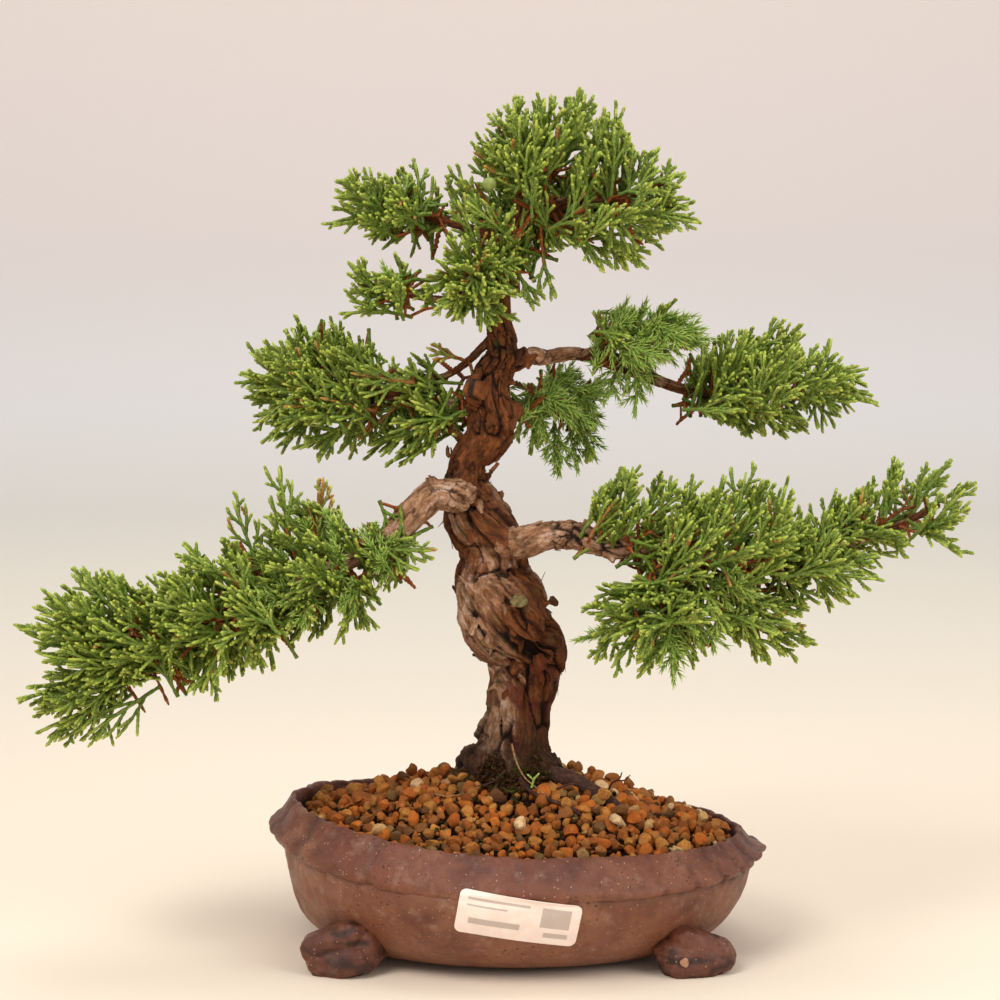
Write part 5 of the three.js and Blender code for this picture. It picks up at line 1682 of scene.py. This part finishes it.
def make_leaders():
    rng = np.random.default_rng(64)
    leaves, young_leaves, twigs = Sheaf(), Sheaf(), Sheaf()
    for start, end, carrier, kind in LEADERS:
        start, end = np.array(start, dtype=float), np.array(end, dtype=float)
        way, size = unit(end - start), float(np.linalg.norm(end - start))
        spin = orient(way, np.cross(way, [0.2, -1.0, 0.1]), rng.normal(0, 0.3))
        home = Limbs([carrier]).nearest(start)
        twigs.shoot(home, start - home, np.linalg.norm(start - home) + size * 0.25, 0.7, (0, 0, 0), 0.5)
        if kind == "needle":
            young_leaves.extend(turned_rows(needle_spray(rng, size), spin, start))
            continue
        rows = scale_spray(rng, size)
        if kind == "dry":
            rows[:, TINT] = rng.uniform(FRESH, 1, len(rows))
        leaves.extend(turned_rows(rows, spin, start))
    leaves.build("leader_sprays", SCALE_SHAPES, SCALE_LEAVES, "scale_foliage")
    young_leaves.build("leader_needles", NEEDLE_SHAPES, NEEDLE_LEAVES, "needle_foliage")
    twigs.build("leader_twigs", TWIG_SHAPES, TWIG_BARK, "bark")


make_leaders()


def make_berry():
    """One unripe berry among the crown's left shoots."""
    berry = lump("berry", (-10, -19, 277), (2.5, 2.4, 2.3), 4)
    raise_skin(berry, 0.12 * swell(points_of(berry), 2, 3))
    settle(berry, BERRY_SKIN)


make_berry()
make_sticks()


# ------------------------------------------------------------------------------------------ Studio
SWEEP_FRONT, SWEEP_RUN, SWEEP_HALF_WIDTH = -4.4, 8.4, 4  # in metres, as all of the studio
WALL_START, WALL_BEND = 1.45, 0.6  # where the table starts to turn up, and the radius of the turn
CAMERA_SPOT = (-6.25, -1000, 272)  # in mm round the pot's centre
CAMERA_DOWN = 6.2  # degrees
# Each lamp: its place from the tree's middle, its size, power and colour.
LAMPS = {
    "key_softbox": ((-0.75, -0.95, 1.25), 0.9, 17.5, (1.0, 0.955, 0.9)),
    "fill_softbox": ((1.1, -0.8, 0.7), 1.1, 9, (1.0, 0.98, 0.95)),
    "top_softbox": ((0.1, 0.25, 1.35), 1.0, 7.2, (1.0, 0.98, 0.95)),
}


def make_backdrop_paint():
    """Matt paint: cream on the table, cooler and then a little pinker up the wall, and painted lighter up the
    wall, where the lamps reach less: painted light.
    """
    made, shader = material("pale_backdrop", Roughness=0.9, Specular_IOR_Level=0.1)
    where = add(made, PLACE, output="Object")
    back = add(made, PARTS, {0: where}, 1)
    up = add(made, PARTS, {0: where}, 2)
    up = add(made, MATH, {0: up, 1: 0.6}, operation="MULTIPLY")
    rise = add(made, MATH, {0: back, 1: 0.3, 2: up}, operation="MULTIPLY_ADD")
    # painted light: the upper wall is painted lighter, in place of light that the lamps don't bring there
    colour = add(made, RAMP, {0: rise}, stops=[
        (0.06, "#f0e1ce"), (0.15, "#e8dfce"), (0.33, "#eae6da"), (0.56, "#f0eeec"), (0.7, "#efe6e2"),
        (0.9, "#f8ece6")])
    link(made, colour, shader, "Base Color")
    return made


def make_sweep():
    """A pale table that sweeps up into a plain backdrop."""
    paint = make_backdrop_paint()
    deselect()
    bpy.ops.mesh.primitive_grid_add(x_subdivisions=2, y_subdivisions=90, size=2)
    sweep = bpy.context.object
    sweep.name = "sweep"
    points = points_of(sweep)
    run = (points[:, 1] + 1) / 2 * SWEEP_RUN + SWEEP_FRONT
    turn = np.clip((run - WALL_START) / WALL_BEND, 0, math.pi / 2)
    above = np.maximum(run - WALL_START - WALL_BEND * math.pi / 2, 0)
    points[:, 0] *= SWEEP_HALF_WIDTH
    points[:, 1] = np.where(run < WALL_START, run, WALL_START + WALL_BEND * np.sin(turn))
    points[:, 2] = np.where(run < WALL_START, 0, WALL_BEND * (1 - np.cos(turn)) + above)
    move_points(sweep, points)
    sweep.data.materials.append(paint)
    pick(sweep)
    bpy.ops.object.shade_smooth()
    deselect()


def light_studio():
    """A dim even sky and three soft lamps."""
    world = bpy.data.worlds.new("studio")
    world.use_nodes = True
    world.node_tree.nodes["Background"].inputs["Color"].default_value = (0.98, 0.98, 1.0, 1)
    world.node_tree.nodes["Background"].inputs["Strength"].default_value = 0.55
    bpy.context.scene.world = world

    centre = Vector(POT_CENTRE) * MM + Vector((0, 0, 0.17))
    for name, (spot, size, power, colour) in LAMPS.items():
        lamp = bpy.data.lights.new(name, "AREA")
        lamp.shape = "DISK"
        lamp.size = size
        lamp.energy = power
        lamp.color = colour
        holder = bpy.data.objects.new(name, lamp)
        holder.location = centre + Vector(spot)
        holder.rotation_euler = (centre - holder.location).to_track_quat("-Z", "Y").to_euler()
        bpy.context.collection.objects.link(holder)


def place_camera():
    """A long lens in front, looking a little down."""
    camera = bpy.data.cameras.new("camera")
    camera.lens = 100
    camera.sensor_width = 36
    holder = bpy.data.objects.new("camera", camera)
    holder.location = (Vector(POT_CENTRE) + Vector(CAMERA_SPOT)) * MM
    holder.rotation_euler = (math.radians(90 - CAMERA_DOWN), 0, 0)
    bpy.context.collection.objects.link(holder)
    bpy.context.scene.camera = holder
    bpy.context.scene.view_settings.view_transform = "Standard"


make_sweep()
light_studio()
place_camera()
